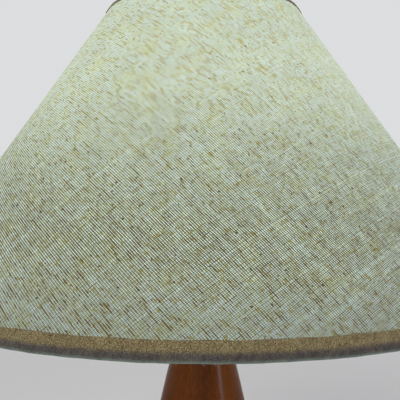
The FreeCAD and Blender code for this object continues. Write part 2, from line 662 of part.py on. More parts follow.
# --- harp ---------------------------------------------------------------------------------------------
def harp_side():
    """Half of the harp's centre line, from its foot to the middle of its top, as tangent lines and arcs."""
    shoulder = HARP_SHOULDER_BEND
    bend = math.radians(HARP_SHOULDER_ANGLE)
    spread = HARP_HALF_WIDTH - HARP_TOP_FLAT - shoulder * math.cos(bend)
    side_radius = spread / (1 - math.cos(bend))
    side_z = harp_top_z - (side_radius - shoulder) * math.sin(bend) - shoulder
    straight_z = foot_z + HARP_STRAIGHT
    flare = 2 * math.atan2(HARP_HALF_WIDTH - foot_x, side_z - straight_z)
    bow_radius = (side_z - straight_z) / math.sin(flare) - HARP_FOOT_BEND

    def turn(centre, radius, angle):
        return centre + rz(radius * math.cos(angle), radius * math.sin(angle))

    foot_centre = rz(foot_x + HARP_FOOT_BEND, straight_z)
    bow_centre = rz(HARP_HALF_WIDTH - bow_radius, side_z)
    side_centre = rz(HARP_HALF_WIDTH - side_radius, side_z)
    shoulder_start = turn(side_centre, side_radius, bend)
    shoulder_centre = turn(shoulder_start, -shoulder, bend)
    bow_start = turn(bow_centre, bow_radius, -flare)
    shoulder_end = turn(shoulder_centre, shoulder, math.pi / 2)
    return [
        line(rz(foot_x, foot_z), rz(foot_x, straight_z)),
        arc(rz(foot_x, straight_z), turn(foot_centre, HARP_FOOT_BEND, math.pi - flare / 2), bow_start),
        arc(bow_start, turn(bow_centre, bow_radius, -flare / 2), rz(HARP_HALF_WIDTH, side_z)),
        arc(rz(HARP_HALF_WIDTH, side_z), turn(side_centre, side_radius, bend / 2), shoulder_start),
        arc(shoulder_start, turn(shoulder_centre, shoulder, (bend + math.pi / 2) / 2), shoulder_end),
        line(shoulder_end, rz(0, harp_top_z)),
    ]


def harp_wire():
    profile = Part.Wire(Part.makeCircle(HARP_WIRE_RADIUS, rz(foot_x, foot_z), AXIS))
    side = Part.Wire(harp_side()).makePipeShell([profile], True, True)
    other = side.mirror(ORIGIN, FreeCAD.Vector(1, 0, 0))
    return side.fuse(other).removeSplitter()


def harp_top_block():
    block = cylinder(BLOCK_TOP_RADIUS, top_block_bottom, top_block_top)
    rims = [e for e in block.Edges if e.BoundBox.ZLength < NEAR]
    block = block.makeChamfer(BLOCK_TOP_CHAMFER, rims)
    ends = [rz(side * (BLOCK_TOP_RADIUS + TOOL_REACH), harp_top_z) for side in (-1, 1)]
    block = block.cut(rod_along(ends[0], ends[1], HARP_WIRE_RADIUS + THREAD_GAP))
    pin_hole = STUD_PIN_RADIUS + STUD_PIN_GAP
    return block.cut(cylinder(pin_hole, pin_bottom() - SEAT_GAP, top_block_top + TOOL_REACH))


def pin_bottom():
    return flange_bottom - SEAT_GAP - STUD_PIN_LENGTH


def harp_sleeve(side):
    """A short flat-sided tube that holds the wire's foot to the saddle's ear."""
    ear_side = EAR_OFFSET - SADDLE_THICKNESS / 2 - HARP_GAP
    wire_side = foot_x + HARP_WIRE_RADIUS + SLEEVE_WIRE_GAP
    half = EAR_WIDTH / 2 + HARP_GAP
    bottom = saddle_top + HARP_GAP
    top = bottom + SLEEVE_HEIGHT

    def prism(grow, z0, z1):
        x0, x1 = sorted((side * (ear_side - grow), side * (wire_side + grow)))
        shape = box(x0, x1, -half - grow, half + grow, z0, z1)
        upright = [e for e in shape.Edges if abs(e.BoundBox.ZLength - (z1 - z0)) < NEAR]
        return shape.makeFillet(SLEEVE_CORNER + grow, upright)

    return prism(SLEEVE_WALL, bottom, top).cut(prism(0, bottom - TOOL_REACH, top + TOOL_REACH))


def harp_stud():
    return turned_points(
        [
            (0, pin_bottom()),
            (STUD_PIN_RADIUS, pin_bottom()),
            (STUD_PIN_RADIUS, flange_bottom),
            (STUD_FLANGE_RADIUS, flange_bottom),
            (STUD_FLANGE_RADIUS, flange_top),
            (STUD_THREAD_RADIUS, flange_top),
            (STUD_THREAD_RADIUS, flange_top + STUD_THREAD_LENGTH - STUD_POINT),
            (STUD_THREAD_RADIUS - STUD_POINT, flange_top + STUD_THREAD_LENGTH),
            (0, flange_top + STUD_THREAD_LENGTH),
        ]
    )


# --- shade --------------------------------------------------------------------------------------------
def shade_wall(outside, inside, start, end):
    """A layer of the shade, between two depths of its wall and two distances along its slope."""
    low, high = slope_point(start, outside), slope_point(end, outside)
    high_in, low_in = slope_point(end, inside), slope_point(start, inside)
    return turned_points([(corner.x, corner.z) for corner in (low, high, high_in, low_in)])


def shade_fabric():
    return shade_wall(0, -FABRIC_THICKNESS, EDGE_INSET, shade_length - EDGE_INSET)


def shade_liner():
    outside = -FABRIC_THICKNESS - GLUE_GAP
    return shade_wall(outside, outside - LINER_THICKNESS, EDGE_INSET, shade_length - EDGE_INSET)


def ring_centre(at_top):
    along = shade_length - RING_OFFSET if at_top else RING_OFFSET
    return slope_point(along, -ring_depth)


def shade_ring(at_top):
    centre = ring_centre(at_top)
    return Part.makeTorus(centre.x, RING_WIRE_RADIUS, rz(0, centre.z), AXIS)


def shade_hem(at_top, band):
    """A strip folded over the shade's edge and its ring: a band outside, a turn-in on the liner inside."""
    outer = GLUE_GAP + HEM_THICKNESS
    inner_face = ring_depth + RING_WIRE_RADIUS + GLUE_GAP
    fold_radius = (inner_face + GLUE_GAP) / 2
    middle = GLUE_GAP - fold_radius
    fold = RING_OFFSET
    liner_face = wall_depth + GLUE_GAP
    leave, meet = HEM_LEAVE, HEM_MEET

    def at(along, out):
        return slope_point(shade_length - along if at_top else along, out)

    thick = HEM_THICKNESS
    outer_top, inner_top = at(band, outer), at(band, GLUE_GAP)
    outer_fold, inner_fold = at(fold, outer), at(fold, GLUE_GAP)
    far_outer, far_inner = at(fold, -inner_face - thick), at(fold, -inner_face)
    low_outer = at(fold - fold_radius - thick, middle)
    low_inner = at(fold - fold_radius, middle)
    outline = [
        line(outer_top, outer_fold),
        arc(outer_fold, low_outer, far_outer),
        line(far_outer, at(leave, -inner_face - thick)),
        line(at(leave, -inner_face - thick), at(meet, -liner_face - thick)),
        line(at(meet, -liner_face - thick), at(HEM_TURN_IN, -liner_face - thick)),
        line(at(HEM_TURN_IN, -liner_face - thick), at(HEM_TURN_IN, -liner_face)),
        line(at(HEM_TURN_IN, -liner_face), at(meet, -liner_face)),
        line(at(meet, -liner_face), at(leave, -inner_face)),
        line(at(leave, -inner_face), far_inner),
        arc(far_inner, low_inner, inner_fold),
        line(inner_fold, inner_top),
        line(inner_top, outer_top),
    ]
    return turned(outline)


def shade_top_hem():
    hem = shade_hem(True, TOP_HEM_BAND)
    for arm in spider_wires(SPIDER_WIRE_RADIUS + GLUE_GAP, 0.0):
        hem = hem.cut(arm)
    return hem


def shade_seam_tape():
    outside = -wall_depth - GLUE_GAP
    strip = shade_wall(outside, outside - SEAM_TAPE_THICKNESS, SEAM_TAPE_END, shade_length - SEAM_TAPE_END)
    half = SEAM_TAPE_WIDTH / 2
    return strip.common(box(-half, half, 0, SHADE_BOTTOM_RADIUS, 0, shade_rim + SHADE_HEIGHT))


def spider_washer():
    return tube(SPIDER_WASHER_RADIUS, SPIDER_WASHER_HOLE, flange_top, washer_top)


def spider_wires(radius, end_gap):
    """The arms: each runs level over the washer, bends up and meets the top ring."""
    level = washer_top + SPIDER_WIRE_RADIUS + SPIDER_WELD_GAP
    ring = ring_centre(True)
    start = rz(SPIDER_ARM_START, level)
    corner = rz(SPIDER_LEVEL_END, level)
    reach = ring - corner
    climb = math.atan2(reach.z, reach.x)
    cut_back = SPIDER_BEND * math.tan(climb / 2)
    way = FreeCAD.Vector(reach).normalize()
    bend_in = corner - rz(cut_back, 0)
    bend_out = corner + way * cut_back
    inward = (bend_in + bend_out) * 0.5 - corner
    centre_distance = SPIDER_BEND / math.cos(climb / 2)
    through = corner + inward.normalize() * (centre_distance - SPIDER_BEND)
    end = ring - way * (RING_WIRE_RADIUS + end_gap)
    path = Part.Wire([line(start, bend_in), arc(bend_in, through, bend_out), line(bend_out, end)])
    profile = Part.Wire(Part.makeCircle(radius, start, FreeCAD.Vector(1, 0, 0)))
    arm = path.makePipeShell([profile], True, True)
    arms = []
    for i in range(SPIDER_ARMS):
        copy = arm.copy()
        copy.rotate(ORIGIN, AXIS, SPIDER_FIRST_ARM + i * FULL_TURN / SPIDER_ARMS)
        arms.append(copy)
    return arms


def spider_arms():
    return Part.makeCompound(spider_wires(SPIDER_WIRE_RADIUS, SPIDER_WELD_GAP))


# --- finial -------------------------------------------------------------------------------------------
def finial():
    base_top_z = finial_bottom + FINIAL_BASE_HEIGHT
    neck_top = base_top_z + FINIAL_NECK_HEIGHT
    ball_drop = math.sqrt(FINIAL_BALL_RADIUS**2 - FINIAL_NECK_RADIUS**2)
    ball_z = neck_top + ball_drop
    tip_drop = math.sqrt(FINIAL_BALL_RADIUS**2 - FINIAL_TIP_RADIUS**2)
    tip_z = ball_z + tip_drop
    tip_top = rz(0, tip_z + FINIAL_TIP_HEIGHT)
    tip_edge = rz(FINIAL_TIP_RADIUS, tip_top.z - FINIAL_TIP_RADIUS)
    slant = FINIAL_TIP_RADIUS * math.sqrt(0.5)
    tip_middle = rz(slant, tip_edge.z + slant)
    base_edge = rz(FINIAL_BASE_RADIUS, finial_bottom + FINIAL_BASE_EDGE)
    neck_foot = rz(FINIAL_NECK_RADIUS, base_top_z + FINIAL_BASE_COVE)
    outline = [
        line(rz(0, finial_bottom), rz(FINIAL_BASE_RADIUS, finial_bottom)),
        line(rz(FINIAL_BASE_RADIUS, finial_bottom), base_edge),
        bowed(base_edge, neck_foot, -FINIAL_BASE_HOLLOW),
        line(neck_foot, rz(FINIAL_NECK_RADIUS, neck_top)),
        arc(rz(FINIAL_NECK_RADIUS, neck_top), rz(FINIAL_BALL_RADIUS, ball_z), rz(FINIAL_TIP_RADIUS, tip_z)),
        line(rz(FINIAL_TIP_RADIUS, tip_z), tip_edge),
        arc(tip_edge, tip_middle, tip_top),
        line(tip_top, rz(0, finial_bottom)),
    ]
    thread_room = flange_top + STUD_THREAD_LENGTH + FINIAL_BORE_ROOM
    bore = cylinder(STUD_THREAD_RADIUS + FINIAL_GAP, finial_bottom - TOOL_REACH, thread_room)
    return turned(outline).cut(bore)


# --- bulb ---------------------------------------------------------------------------------------------
def bulb_tip_contact():
    return cylinder(TIP_RADIUS, tip_bottom, insulator_bottom)


def bulb_insulator():
    narrow = TIP_RADIUS + INSULATOR_MARGIN
    return Part.makeCone(narrow, INSULATOR_TOP_RADIUS, INSULATOR_HEIGHT, rz(0, insulator_bottom))


def bulb_screw_base():
    inner = BULB_THREAD_RADIUS - BULB_BASE_WALL
    return turned_points(
        [
            (0, base_bottom),
            (INSULATOR_TOP_RADIUS, base_bottom),
            (BULB_THREAD_RADIUS, base_bottom + BULB_BASE_TAPER),
            (BULB_THREAD_RADIUS, base_top),
            (inner, base_top),
            (inner, base_bottom + BULB_BASE_TAPER + BULB_BASE_WALL / 2),
            (INSULATOR_TOP_RADIUS - BULB_BASE_WALL / 2, base_bottom + BULB_BASE_WALL),
            (0, base_bottom + BULB_BASE_WALL),
        ]
    )


def bulb_housing():
    """A hollow cup that flares from the screw base to the dome, with a rebate that carries the board."""
    neck = BULB_THREAD_RADIUS + BULB_NECK_OVERHANG
    plug_bottom = base_top - BULB_PLUG_DEPTH
    collar = base_top + BULB_NECK_HEIGHT
    neck_foot = base_top + THREAD_GAP
    rebate = board_radius + THREAD_GAP
    outer_low, outer_high = rz(neck, collar), rz(housing_radius, housing_top)
    inner_low, inner_high = rz(plug_radius - BULB_WALL, collar), rz(board_radius - LED_LEDGE, board_bottom)
    outline = [
        line(rz(plug_radius - BULB_WALL, plug_bottom), rz(plug_radius, plug_bottom)),
        line(rz(plug_radius, plug_bottom), rz(plug_radius, neck_foot)),
        line(rz(plug_radius, neck_foot), rz(neck, neck_foot)),
        line(rz(neck, neck_foot), outer_low),
        bowed(outer_low, outer_high, -BULB_HOUSING_HOLLOW),
        line(outer_high, rz(rebate, housing_top)),
        line(rz(rebate, housing_top), rz(rebate, board_bottom)),
        line(rz(rebate, board_bottom), inner_high),
        bowed(inner_high, inner_low, BULB_HOUSING_HOLLOW),
        line(inner_low, rz(plug_radius - BULB_WALL, plug_bottom)),
    ]
    return turned(outline)


def bulb_diffuser():
    """The dome: it swells from the housing's rim to the bulb's full radius and closes as a half ball."""

    def section(radius):
        rim = rz(radius - BULB_WALL, housing_top)
        wide = rz(radius, housing_top + BULB_DOME_WAIST)
        through = rz(radius * math.sqrt(0.5), wide.z + radius * math.sqrt(0.5))
        return rim, wide, through, rz(0, wide.z + radius)

    rim, wide, through, crown = section(BULB_RADIUS)
    rim_in, wide_in, through_in, crown_in = section(BULB_RADIUS - BULB_WALL)
    outline = [
        bowed(rim, wide, BULB_DOME_BOW),
        arc(wide, through, crown),
        line(crown, crown_in),
        arc(crown_in, through_in, wide_in),
        bowed(wide_in, rim_in, -BULB_DOME_BOW),
        line(rim_in, rim),
    ]
    return turned(outline)


def bulb_led_board():
    return cylinder(board_radius, board_bottom, board_bottom + LED_BOARD_THICKNESS)


def bulb_led_chips():
    long, wide, tall = LED_SIZE
    bottom = board_bottom + LED_BOARD_THICKNESS
    chips = []
    for i in range(LED_COUNT):
        near = LED_RING_RADIUS - long / 2
        chip = box(near, near + long, -wide / 2, wide / 2, bottom, bottom + tall)
        chip.rotate(ORIGIN, AXIS, i * FULL_TURN / LED_COUNT)
        chips.append(chip)
    return Part.makeCompound(chips)


def bulb_driver_board():
    half = plug_radius - BULB_WALL - DRIVER_SIDE_GAP
    thickness = LED_BOARD_THICKNESS
    return box(-half, half, -thickness / 2, thickness / 2, base_top - DRIVER_DEPTH, board_bottom)


SUB_PARTS = {
    "wood_body": wood_body,
    "base_weight": base_weight,
    "felt_pad": felt_pad,
    "threaded_rod": threaded_rod,
    "rod_washer": rod_washer,
    "rod_nut": rod_nut,
    "cord_bushing": cord_bushing,
    "neck_cap": neck_cap,
    "harp_saddle": harp_saddle,
    "socket_cap": socket_cap,
    "socket_set_screw": socket_set_screw,
    "socket_interior": socket_interior,
    "socket_terminal_screws": socket_terminal_screws,
    "socket_screw_shell": socket_screw_shell,
    "socket_centre_contact": socket_centre_contact,
    "socket_liner": socket_liner,
    "socket_shell": socket_shell,
    "switch_shaft": switch_shaft,
    "switch_cam": switch_cam,
    "switch_knob": switch_knob,
    "harp_wire": harp_wire,
    "harp_top_block": harp_top_block,
    "harp_sleeve_left": lambda: harp_sleeve(-1),
    "harp_sleeve_right": lambda: harp_sleeve(1),
    "harp_stud": harp_stud,
    "spider_washer": spider_washer,
    "spider_arms": spider_arms,
    "shade_top_ring": lambda: shade_ring(True),
    "shade_bottom_ring": lambda: shade_ring(False),
    "shade_liner": shade_liner,
    "shade_fabric": shade_fabric,
    "shade_top_hem": shade_top_hem,
    "shade_bottom_hem": lambda: shade_hem(False, BOTTOM_HEM_BAND),
    "shade_seam_tape": shade_seam_tape,
    "finial": finial,
    "bulb_tip_contact": bulb_tip_contact,
    "bulb_insulator": bulb_insulator,
    "bulb_screw_base": bulb_screw_base,
    "bulb_housing": bulb_housing,
    "bulb_diffuser": bulb_diffuser,
    "bulb_led_board": bulb_led_board,
    "bulb_led_chips": bulb_led_chips,
    "bulb_driver_board": bulb_driver_board,
}

os.makedirs("parts", exist_ok=True)
for name, make in SUB_PARTS.items():
    shape = make()
    whole = shape.isValid() and shape.Solids and all(solid.Volume > 0 for solid in shape.Solids)
    print(f"{name:24s} {len(shape.Solids):2d} solids {shape.Volume:10.1f} mm3", "" if whole else "NOT VALID")
    shape.exportStep(f"parts/{name}.step")
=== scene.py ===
# %% [markdown]
# # A table lamp with a linen shade
# The lamp is a turned wooden body, a turn-key lampholder with a bulb, a wire harp and a wide conical shade.
# The parts that were built as solids come in as a fixed frame, in metres, and nothing here moves them.
# This lesson gives them their finishes, and makes the soft pieces and the finely detailed ones anew.

# %% Load the frame
import math
import random

import bmesh
import bpy
import numpy as np
from mathutils import Matrix, Quaternion, Vector


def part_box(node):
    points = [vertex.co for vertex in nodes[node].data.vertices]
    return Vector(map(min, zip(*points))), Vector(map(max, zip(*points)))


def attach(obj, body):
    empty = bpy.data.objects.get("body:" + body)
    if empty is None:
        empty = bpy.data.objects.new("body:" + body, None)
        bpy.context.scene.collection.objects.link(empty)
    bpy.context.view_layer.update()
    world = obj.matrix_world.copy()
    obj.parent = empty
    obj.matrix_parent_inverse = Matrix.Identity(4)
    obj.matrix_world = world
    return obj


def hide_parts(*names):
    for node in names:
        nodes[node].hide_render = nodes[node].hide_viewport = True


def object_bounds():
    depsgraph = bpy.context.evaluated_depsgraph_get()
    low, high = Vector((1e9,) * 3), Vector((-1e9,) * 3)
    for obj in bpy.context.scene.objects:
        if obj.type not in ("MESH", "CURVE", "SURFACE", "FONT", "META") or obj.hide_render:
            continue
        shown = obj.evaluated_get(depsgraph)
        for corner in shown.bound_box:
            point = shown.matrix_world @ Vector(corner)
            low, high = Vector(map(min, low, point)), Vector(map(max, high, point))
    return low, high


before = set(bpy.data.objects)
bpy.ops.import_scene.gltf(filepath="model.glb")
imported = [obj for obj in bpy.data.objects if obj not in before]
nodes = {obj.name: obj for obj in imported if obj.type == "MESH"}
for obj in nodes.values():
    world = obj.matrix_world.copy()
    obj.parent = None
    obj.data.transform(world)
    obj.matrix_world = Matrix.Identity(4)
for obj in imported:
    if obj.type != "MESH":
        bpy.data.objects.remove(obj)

cad_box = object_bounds()
bpy.ops.object.select_all(action="DESELECT")
corners_mm = [[round(length * 1000, 1) for length in corner] for corner in cad_box]
print(len(nodes), "solid pieces; lowest and highest corner in mm:", corners_mm)

# %% [markdown]
# ## Camera and studio
# The camera stands close in front of the shade, at the height of its lower half, and looks almost level.
# Its lens could be a long one from far away, but the strong curve of the lower edge needs a near view.
# The turn is built from three directions, because three angles in a row are easy to get in the wrong order.

# %% Camera
LENS = 48.72
CAMERA_PLACE = Vector((0.0, -0.3541, 0.3806))
TILT_DOWN, TURN_LEFT, ROLL = math.radians(1.35), math.radians(0.33), math.radians(0.15)

level = Vector((math.cos(TURN_LEFT), math.sin(TURN_LEFT), 0.0))
ahead = Vector((-level.y * math.cos(TILT_DOWN), level.x * math.cos(TILT_DOWN), -math.sin(TILT_DOWN)))
upright = level.cross(ahead)
right = math.cos(ROLL) * level + math.sin(ROLL) * upright
up = math.cos(ROLL) * upright - math.sin(ROLL) * level
camera_data = bpy.data.cameras.new("camera")
camera_data.lens = LENS
camera_data.clip_start = 0.01
camera = bpy.data.objects.new("camera", camera_data)
camera.matrix_world = Matrix.Translation(CAMERA_PLACE) @ Matrix((right, up, -ahead)).transposed().to_4x4()
bpy.context.scene.collection.objects.link(camera)
bpy.context.scene.camera = camera
bpy.context.scene.view_settings.view_transform = "Standard"
print("camera", round(CAMERA_PLACE.length, 3), "m from the middle of the foot")

# %% [markdown]
# ## Small tools for materials
# A material here is a net of nodes. Adding a node, setting it and linking it takes three lines each time,
# so these few helpers do that, and the materials further down read like recipes.

# %% Node helpers
def add(net, kind, inputs=(), **settings):
    """A new node. inputs are its sockets' values or links, in a list by order or a dict by name.
    A colour is given as red, green and blue."""
    made = net.nodes.new("ShaderNode" + kind)
    for name, value in settings.items():
        setattr(made, name, value)
    for key, value in inputs.items() if isinstance(inputs, dict) else enumerate(inputs):
        socket = made.inputs[key]
        if isinstance(value, bpy.types.NodeSocket):
            net.links.new(value, socket)
        else:
            socket.default_value = (*value, 1.0) if socket.type == "RGBA" else value
    return made


def math_node(net, operation, *terms):
    return add(net, "Math", terms, operation=operation).outputs[0]


def times(net, first, second):
    return math_node(net, "MULTIPLY", first, second)


def mix(net, share, first, second, blend="MIX"):
    return add(net, "Mix", {0: share, 6: first, 7: second}, data_type="RGBA", blend_type=blend).outputs[2]


def spread(net, value, low, high, to_low=0.0, to_high=1.0):
    """Stretches low..high of a value to a new range, smoothly, and holds it there."""
    inputs = {"Value": value, "From Min": low, "From Max": high, "To Min": to_low, "To Max": to_high}
    return add(net, "MapRange", inputs, interpolation_type="SMOOTHSTEP").outputs[0]


def noise(net, vector, scale, detail=2.0, roughness=0.5):
    inputs = {"Vector": vector, "Scale": scale, "Detail": detail, "Roughness": roughness}
    return add(net, "TexNoise", inputs).outputs["Fac"]


def stretched(net, vector, scale):
    return add(net, "Mapping", {"Vector": vector, "Scale": scale}).outputs[0]


def scaled(net, shade, factor):
    return add(net, "VectorMath", {0: shade, "Scale": factor}, operation="SCALE").outputs[0]


def grey(value):
    return (value, value, value)


def in_object(net):
    return add(net, "TexCoord").outputs["Object"]


def height_of(net, place):
    return add(net, "SeparateXYZ", [place]).outputs[2]


def spaced(inputs):
    """The same inputs under the names that sockets have, which are written with spaces."""
    return {name.replace("_", " "): value for name, value in inputs.items()}


print("helpers for nodes are ready")

# %% [markdown]
# ## Tools for a whole material
# Each finish is a material with one shader. Its plain values are set when it is made, and what changes over
# the surface is wired in afterwards.

# %% Helpers for materials
def material(name, **constants):
    """A material's node net with its shader and object coordinates. Constants are the shader's plain values."""
    made = bpy.data.materials.new(name)
    made.use_nodes = True
    net = made.node_tree
    net.nodes.clear()
    shader = add(net, "BsdfPrincipled", spaced(constants))
    out = add(net, "OutputMaterial")
    net.links.new(shader.outputs[0], out.inputs["Surface"])
    return made, net, shader, in_object(net)


def wire(net, shader, **sockets):
    for name, value in spaced(sockets).items():
        net.links.new(value, shader.inputs[name])


def bump(net, height, distance, strength=1.0):
    return add(net, "Bump", {"Height": height, "Distance": distance, "Strength": strength}).outputs[0]


print("helpers for materials are ready")

# %% [markdown]
# ## Floor and backdrop
# A lamp is looked at on a table, so there is a pale, very slightly mottled floor. Near the lamp it takes the
# shadow, and further off it fades into the same plain tone as the world behind it, so no horizon shows.

# %% Floor
FLOOR_REACH = 6.0
FLOOR_TONE = 0.80
FADE_START, FADE_END = 0.6, 2.6  # how far from the lamp the floor fades into the backdrop
PAPER_SHOWN = 0.74  # brightness of the backdrop as the camera and mirrors see it
WORLD_LIGHT = 0.24
PAPER_COLOUR = (0.97, 0.98, 1.0)


def shown_backdrop(net):
    """1 for a ray that looks at the backdrop, straight or in a reflection or through glass; 0 for its light."""
    rays = add(net, "LightPath").outputs
    mirrored = math_node(net, "MAXIMUM", rays["Is Glossy Ray"], rays["Is Transmission Ray"])
    return math_node(net, "MAXIMUM", rays["Is Camera Ray"], mirrored)


def stage_material():
    """Pale paper that takes the lamp's shadow near by, fades into the backdrop's tone, and is clear from beneath."""
    made, net, shader, here = material(
        "studio_paper", Roughness=0.9, Specular_IOR_Level=0.0, Emission_Color=PAPER_COLOUR,
    )
    reach = add(net, "VectorMath", [here], operation="LENGTH").outputs["Value"]
    far_off = spread(net, reach, FADE_START, FADE_END)
    blotch = mix(net, noise(net, here, 3.0), grey(FLOOR_TONE * 0.98), grey(FLOOR_TONE))
    glow = times(net, times(net, far_off, shown_backdrop(net)), PAPER_SHOWN)
    wire(net, shader, Base_Color=mix(net, far_off, blotch, grey(0.0)), Emission_Strength=glow)
    beneath = add(net, "NewGeometry").outputs["Backfacing"]
    see_through = add(net, "MixShader", [beneath, shader.outputs[0], add(net, "BsdfTransparent").outputs[0]])
    net.links.new(see_through.outputs[0], net.nodes["Material Output"].inputs["Surface"])
    return made


bpy.ops.mesh.primitive_grid_add(x_subdivisions=4, y_subdivisions=4, size=2 * FLOOR_REACH)
floor = bpy.context.object
floor.name = "floor"
floor.data.materials.append(stage_material())
print("floor", 2 * FLOOR_REACH, "m wide")

# %% [markdown]
# ## Light
# Three big soft lamps and a pale world light the scene, at a level where a colour shows about as written.
# The tall narrow one at the right draws the long highlight on the wood.

# %% World and lamps
world = bpy.data.worlds.new("studio")
bpy.context.scene.world = world
world.use_nodes = True
sky = world.node_tree
sky.nodes.clear()
strength = spread(sky, shown_backdrop(sky), 0.0, 1.0, WORLD_LIGHT, PAPER_SHOWN)
paper = add(sky, "Background", {"Color": PAPER_COLOUR, "Strength": strength})
sky.links.new(paper.outputs[0], add(sky, "OutputWorld").inputs["Surface"])


def soft_lamp(name, place, aim, size, watts, tint=(1.0, 1.0, 1.0)):
    data = bpy.data.lights.new(name, "AREA")
    data.shape = "RECTANGLE"
    data.size, data.size_y = size
    data.energy = watts
    data.color = tint
    lamp = bpy.data.objects.new(name, data)
    lamp.location = place
    lamp.rotation_euler = (Vector(aim) - Vector(place)).to_track_quat("-Z", "Y").to_euler()
    bpy.context.scene.collection.objects.link(lamp)


soft_lamp("key_lamp", (-0.9, -1.7, 1.5), (0, 0, 0.3), (1.4, 1.4), 37.0, (1.0, 0.98, 0.95))
soft_lamp("fill_lamp", (1.6, -1.05, 0.9), (0, 0, 0.25), (0.28, 1.3), 10.5, (0.86, 0.82, 1.0))
soft_lamp("back_lamp", (0.4, 1.8, 1.7), (0, 0, 0.3), (1.6, 1.2), 12.0)
print("world and", len(bpy.data.lights), "lamps")

# %% [markdown]
# ## Effects that several finishes share
# Cloth, handling marks, dust and lathe lines turn up on more than one finish, so each is a node group.
# A group puts out only masks and heights, and each material decides what colour or gloss they stand for.

# %% A helper for node groups
def new_group(name, inputs, outputs):
    """An empty node group. inputs give each number socket's name and value, and None stands for a vector."""
    net = bpy.data.node_groups.new(name, "ShaderNodeTree")
    for label, value in inputs.items():
        kind = "NodeSocketVector" if value is None else "NodeSocketFloat"
        socket = net.interface.new_socket(name=label, in_out="INPUT", socket_type=kind)
        if value is not None:
            socket.default_value = value
    for label in outputs:
        net.interface.new_socket(name=label, in_out="OUTPUT", socket_type="NodeSocketFloat")
    entry = net.nodes.new("NodeGroupInput").outputs
    leave = net.nodes.new("NodeGroupOutput").inputs
    return net, entry, leave


def place_group(net, group, **inputs):
    return add(net, "Group", spaced(inputs), node_tree=group).outputs


# %% [markdown]
# ### Plain weave
# Linen threads pass over and under each other, and no two are equally thick. The pattern is worked out
# thread by thread: a place on the flat cloth, divided by the pitch, gives a thread's number and how far off
# its middle one is. A picture could give the same look, but it would blur close up, and this doesn't.

# %% Weave group
weave, put, get = new_group(
    "plain_weave",
    {"Place": None, "Warp Pitch": 0.001, "Weft Pitch": 0.0007, "Skew": 0.0, "Thickness": 0.6, "Unevenness": 0.3},
    ["Warp", "Weft", "Height", "Slub", "Blotch", "Fleck", "Shade"],
)
WANDER = 0.0009  # metres that a thread strays from its straight line
wander = add(weave, "TexNoise", {"Vector": put["Place"], "Scale": 34.0, "Detail": 2.0}).outputs["Color"]
stray = add(weave, "VectorMath", [wander, (0.5, 0.5, 0.5)], operation="SUBTRACT").outputs[0]
stray = add(weave, "VectorMath", {0: stray, "Scale": WANDER}, operation="SCALE").outputs[0]
bent = add(weave, "VectorMath", [put["Place"], stray], operation="ADD").outputs[0]
across = add(weave, "SeparateXYZ", [bent]).outputs


def part(operation, *terms):
    return math_node(weave, operation, *terms)


def thread_family(near, along, seed, pitch, finer, paired, thinnest):
    """What one family of threads does at this place, as a small dictionary of values."""
    count = part("DIVIDE", near, put[pitch])
    number = part("FLOOR", count)
    middle_off = part("ABSOLUTE", part("SUBTRACT", part("SUBTRACT", count, number), 0.5))
    own = add(weave, "TexWhiteNoise", {"W": part("ADD", number, seed)}, noise_dimensions="1D").outputs["Value"]
    lane = part("MULTIPLY", number, 3.37)
    swell_place = add(weave, "CombineXYZ", [lane, part("MULTIPLY", along, 150.0), seed]).outputs[0]
    uneven = part("SUBTRACT", part("MULTIPLY_ADD", own, 0.18, noise(weave, swell_place, 1.0, 1.0)), 0.59)
    uneven = part("MULTIPLY_ADD", part("PINGPONG", number, 1.0), paired, uneven)
    slub_place = add(weave, "CombineXYZ", [lane, part("MULTIPLY", along, 155.0), seed + 9.0]).outputs[0]
    family = {"count": count, "number": number, "own": own, "thinnest": thinnest}
    family["off"] = part("MULTIPLY", middle_off, 2.0)
    family["wide"] = part("MULTIPLY_ADD", uneven, put["Unevenness"], part("SUBTRACT", put["Thickness"], finer))
    family["cover"] = part("SUBTRACT", 1.0, spread(weave, part("SUBTRACT", family["off"], family["wide"]), -0.14, 0.14))
    family["slub"] = noise(weave, slub_place, 1.0, 2.0, 0.6)
    return family


def rise(family, other, sign):
    """Height of a thread: round across, and up and down along as it passes the other family."""
    share = part("DIVIDE", family["off"], family["wide"])
    dome = part("SQRT", part("MAXIMUM", part("SUBTRACT", 1.0, part("MULTIPLY", share, share)), 0.0))
    beat = part("ADD", part("SUBTRACT", other["count"], 0.5), family["number"])
    swing = part("COSINE", part("MULTIPLY", beat, math.pi))
    return part("MULTIPLY", dome, part("MULTIPLY_ADD", swing, sign * 0.35, 0.6))


skewed = part("MULTIPLY_ADD", across[0], put["Skew"], across[1])
warp = thread_family(across[0], across[1], 3.0, "Warp Pitch", 0.0, 0.0, 0.75)
weft = thread_family(skewed, across[0], 71.0, "Weft Pitch", 0.08, -0.24, 0.40)
for label, family in (("Warp", warp), ("Weft", weft)):
    thin_spot = part("MULTIPLY_ADD", family["slub"], 0.16, family["own"])
    density = spread(weave, thin_spot, 0.085, 0.135, family["thinnest"], 1.0)
    weave.links.new(part("MULTIPLY", family["cover"], density), get[label])
weave.links.new(part("MAXIMUM", rise(warp, weft, 1.0), rise(weft, warp, -1.0)), get["Height"])
warp_slub = part("MULTIPLY", spread(weave, warp["slub"], 0.52, 0.62), warp["cover"])
weft_slub = part("MULTIPLY", spread(weave, weft["slub"], 0.58, 0.68), weft["cover"])
weave.links.new(part("MAXIMUM", warp_slub, weft_slub), get["Slub"])
clumps = noise(weave, stretched(weave, put["Place"], (1.0, 0.6, 1.0)), 640.0, 2.0, 0.65)
weave.links.new(spread(weave, clumps, 0.52, 0.68), get["Blotch"])
specks = noise(weave, stretched(weave, put["Place"], (1.0, 0.6, 1.0)), 800.0, 0.0)
weave.links.new(spread(weave, specks, 0.75, 0.81), get["Fleck"])
weave.links.new(part("MULTIPLY", part("ADD", warp["own"], weft["own"]), 0.5), get["Shade"])
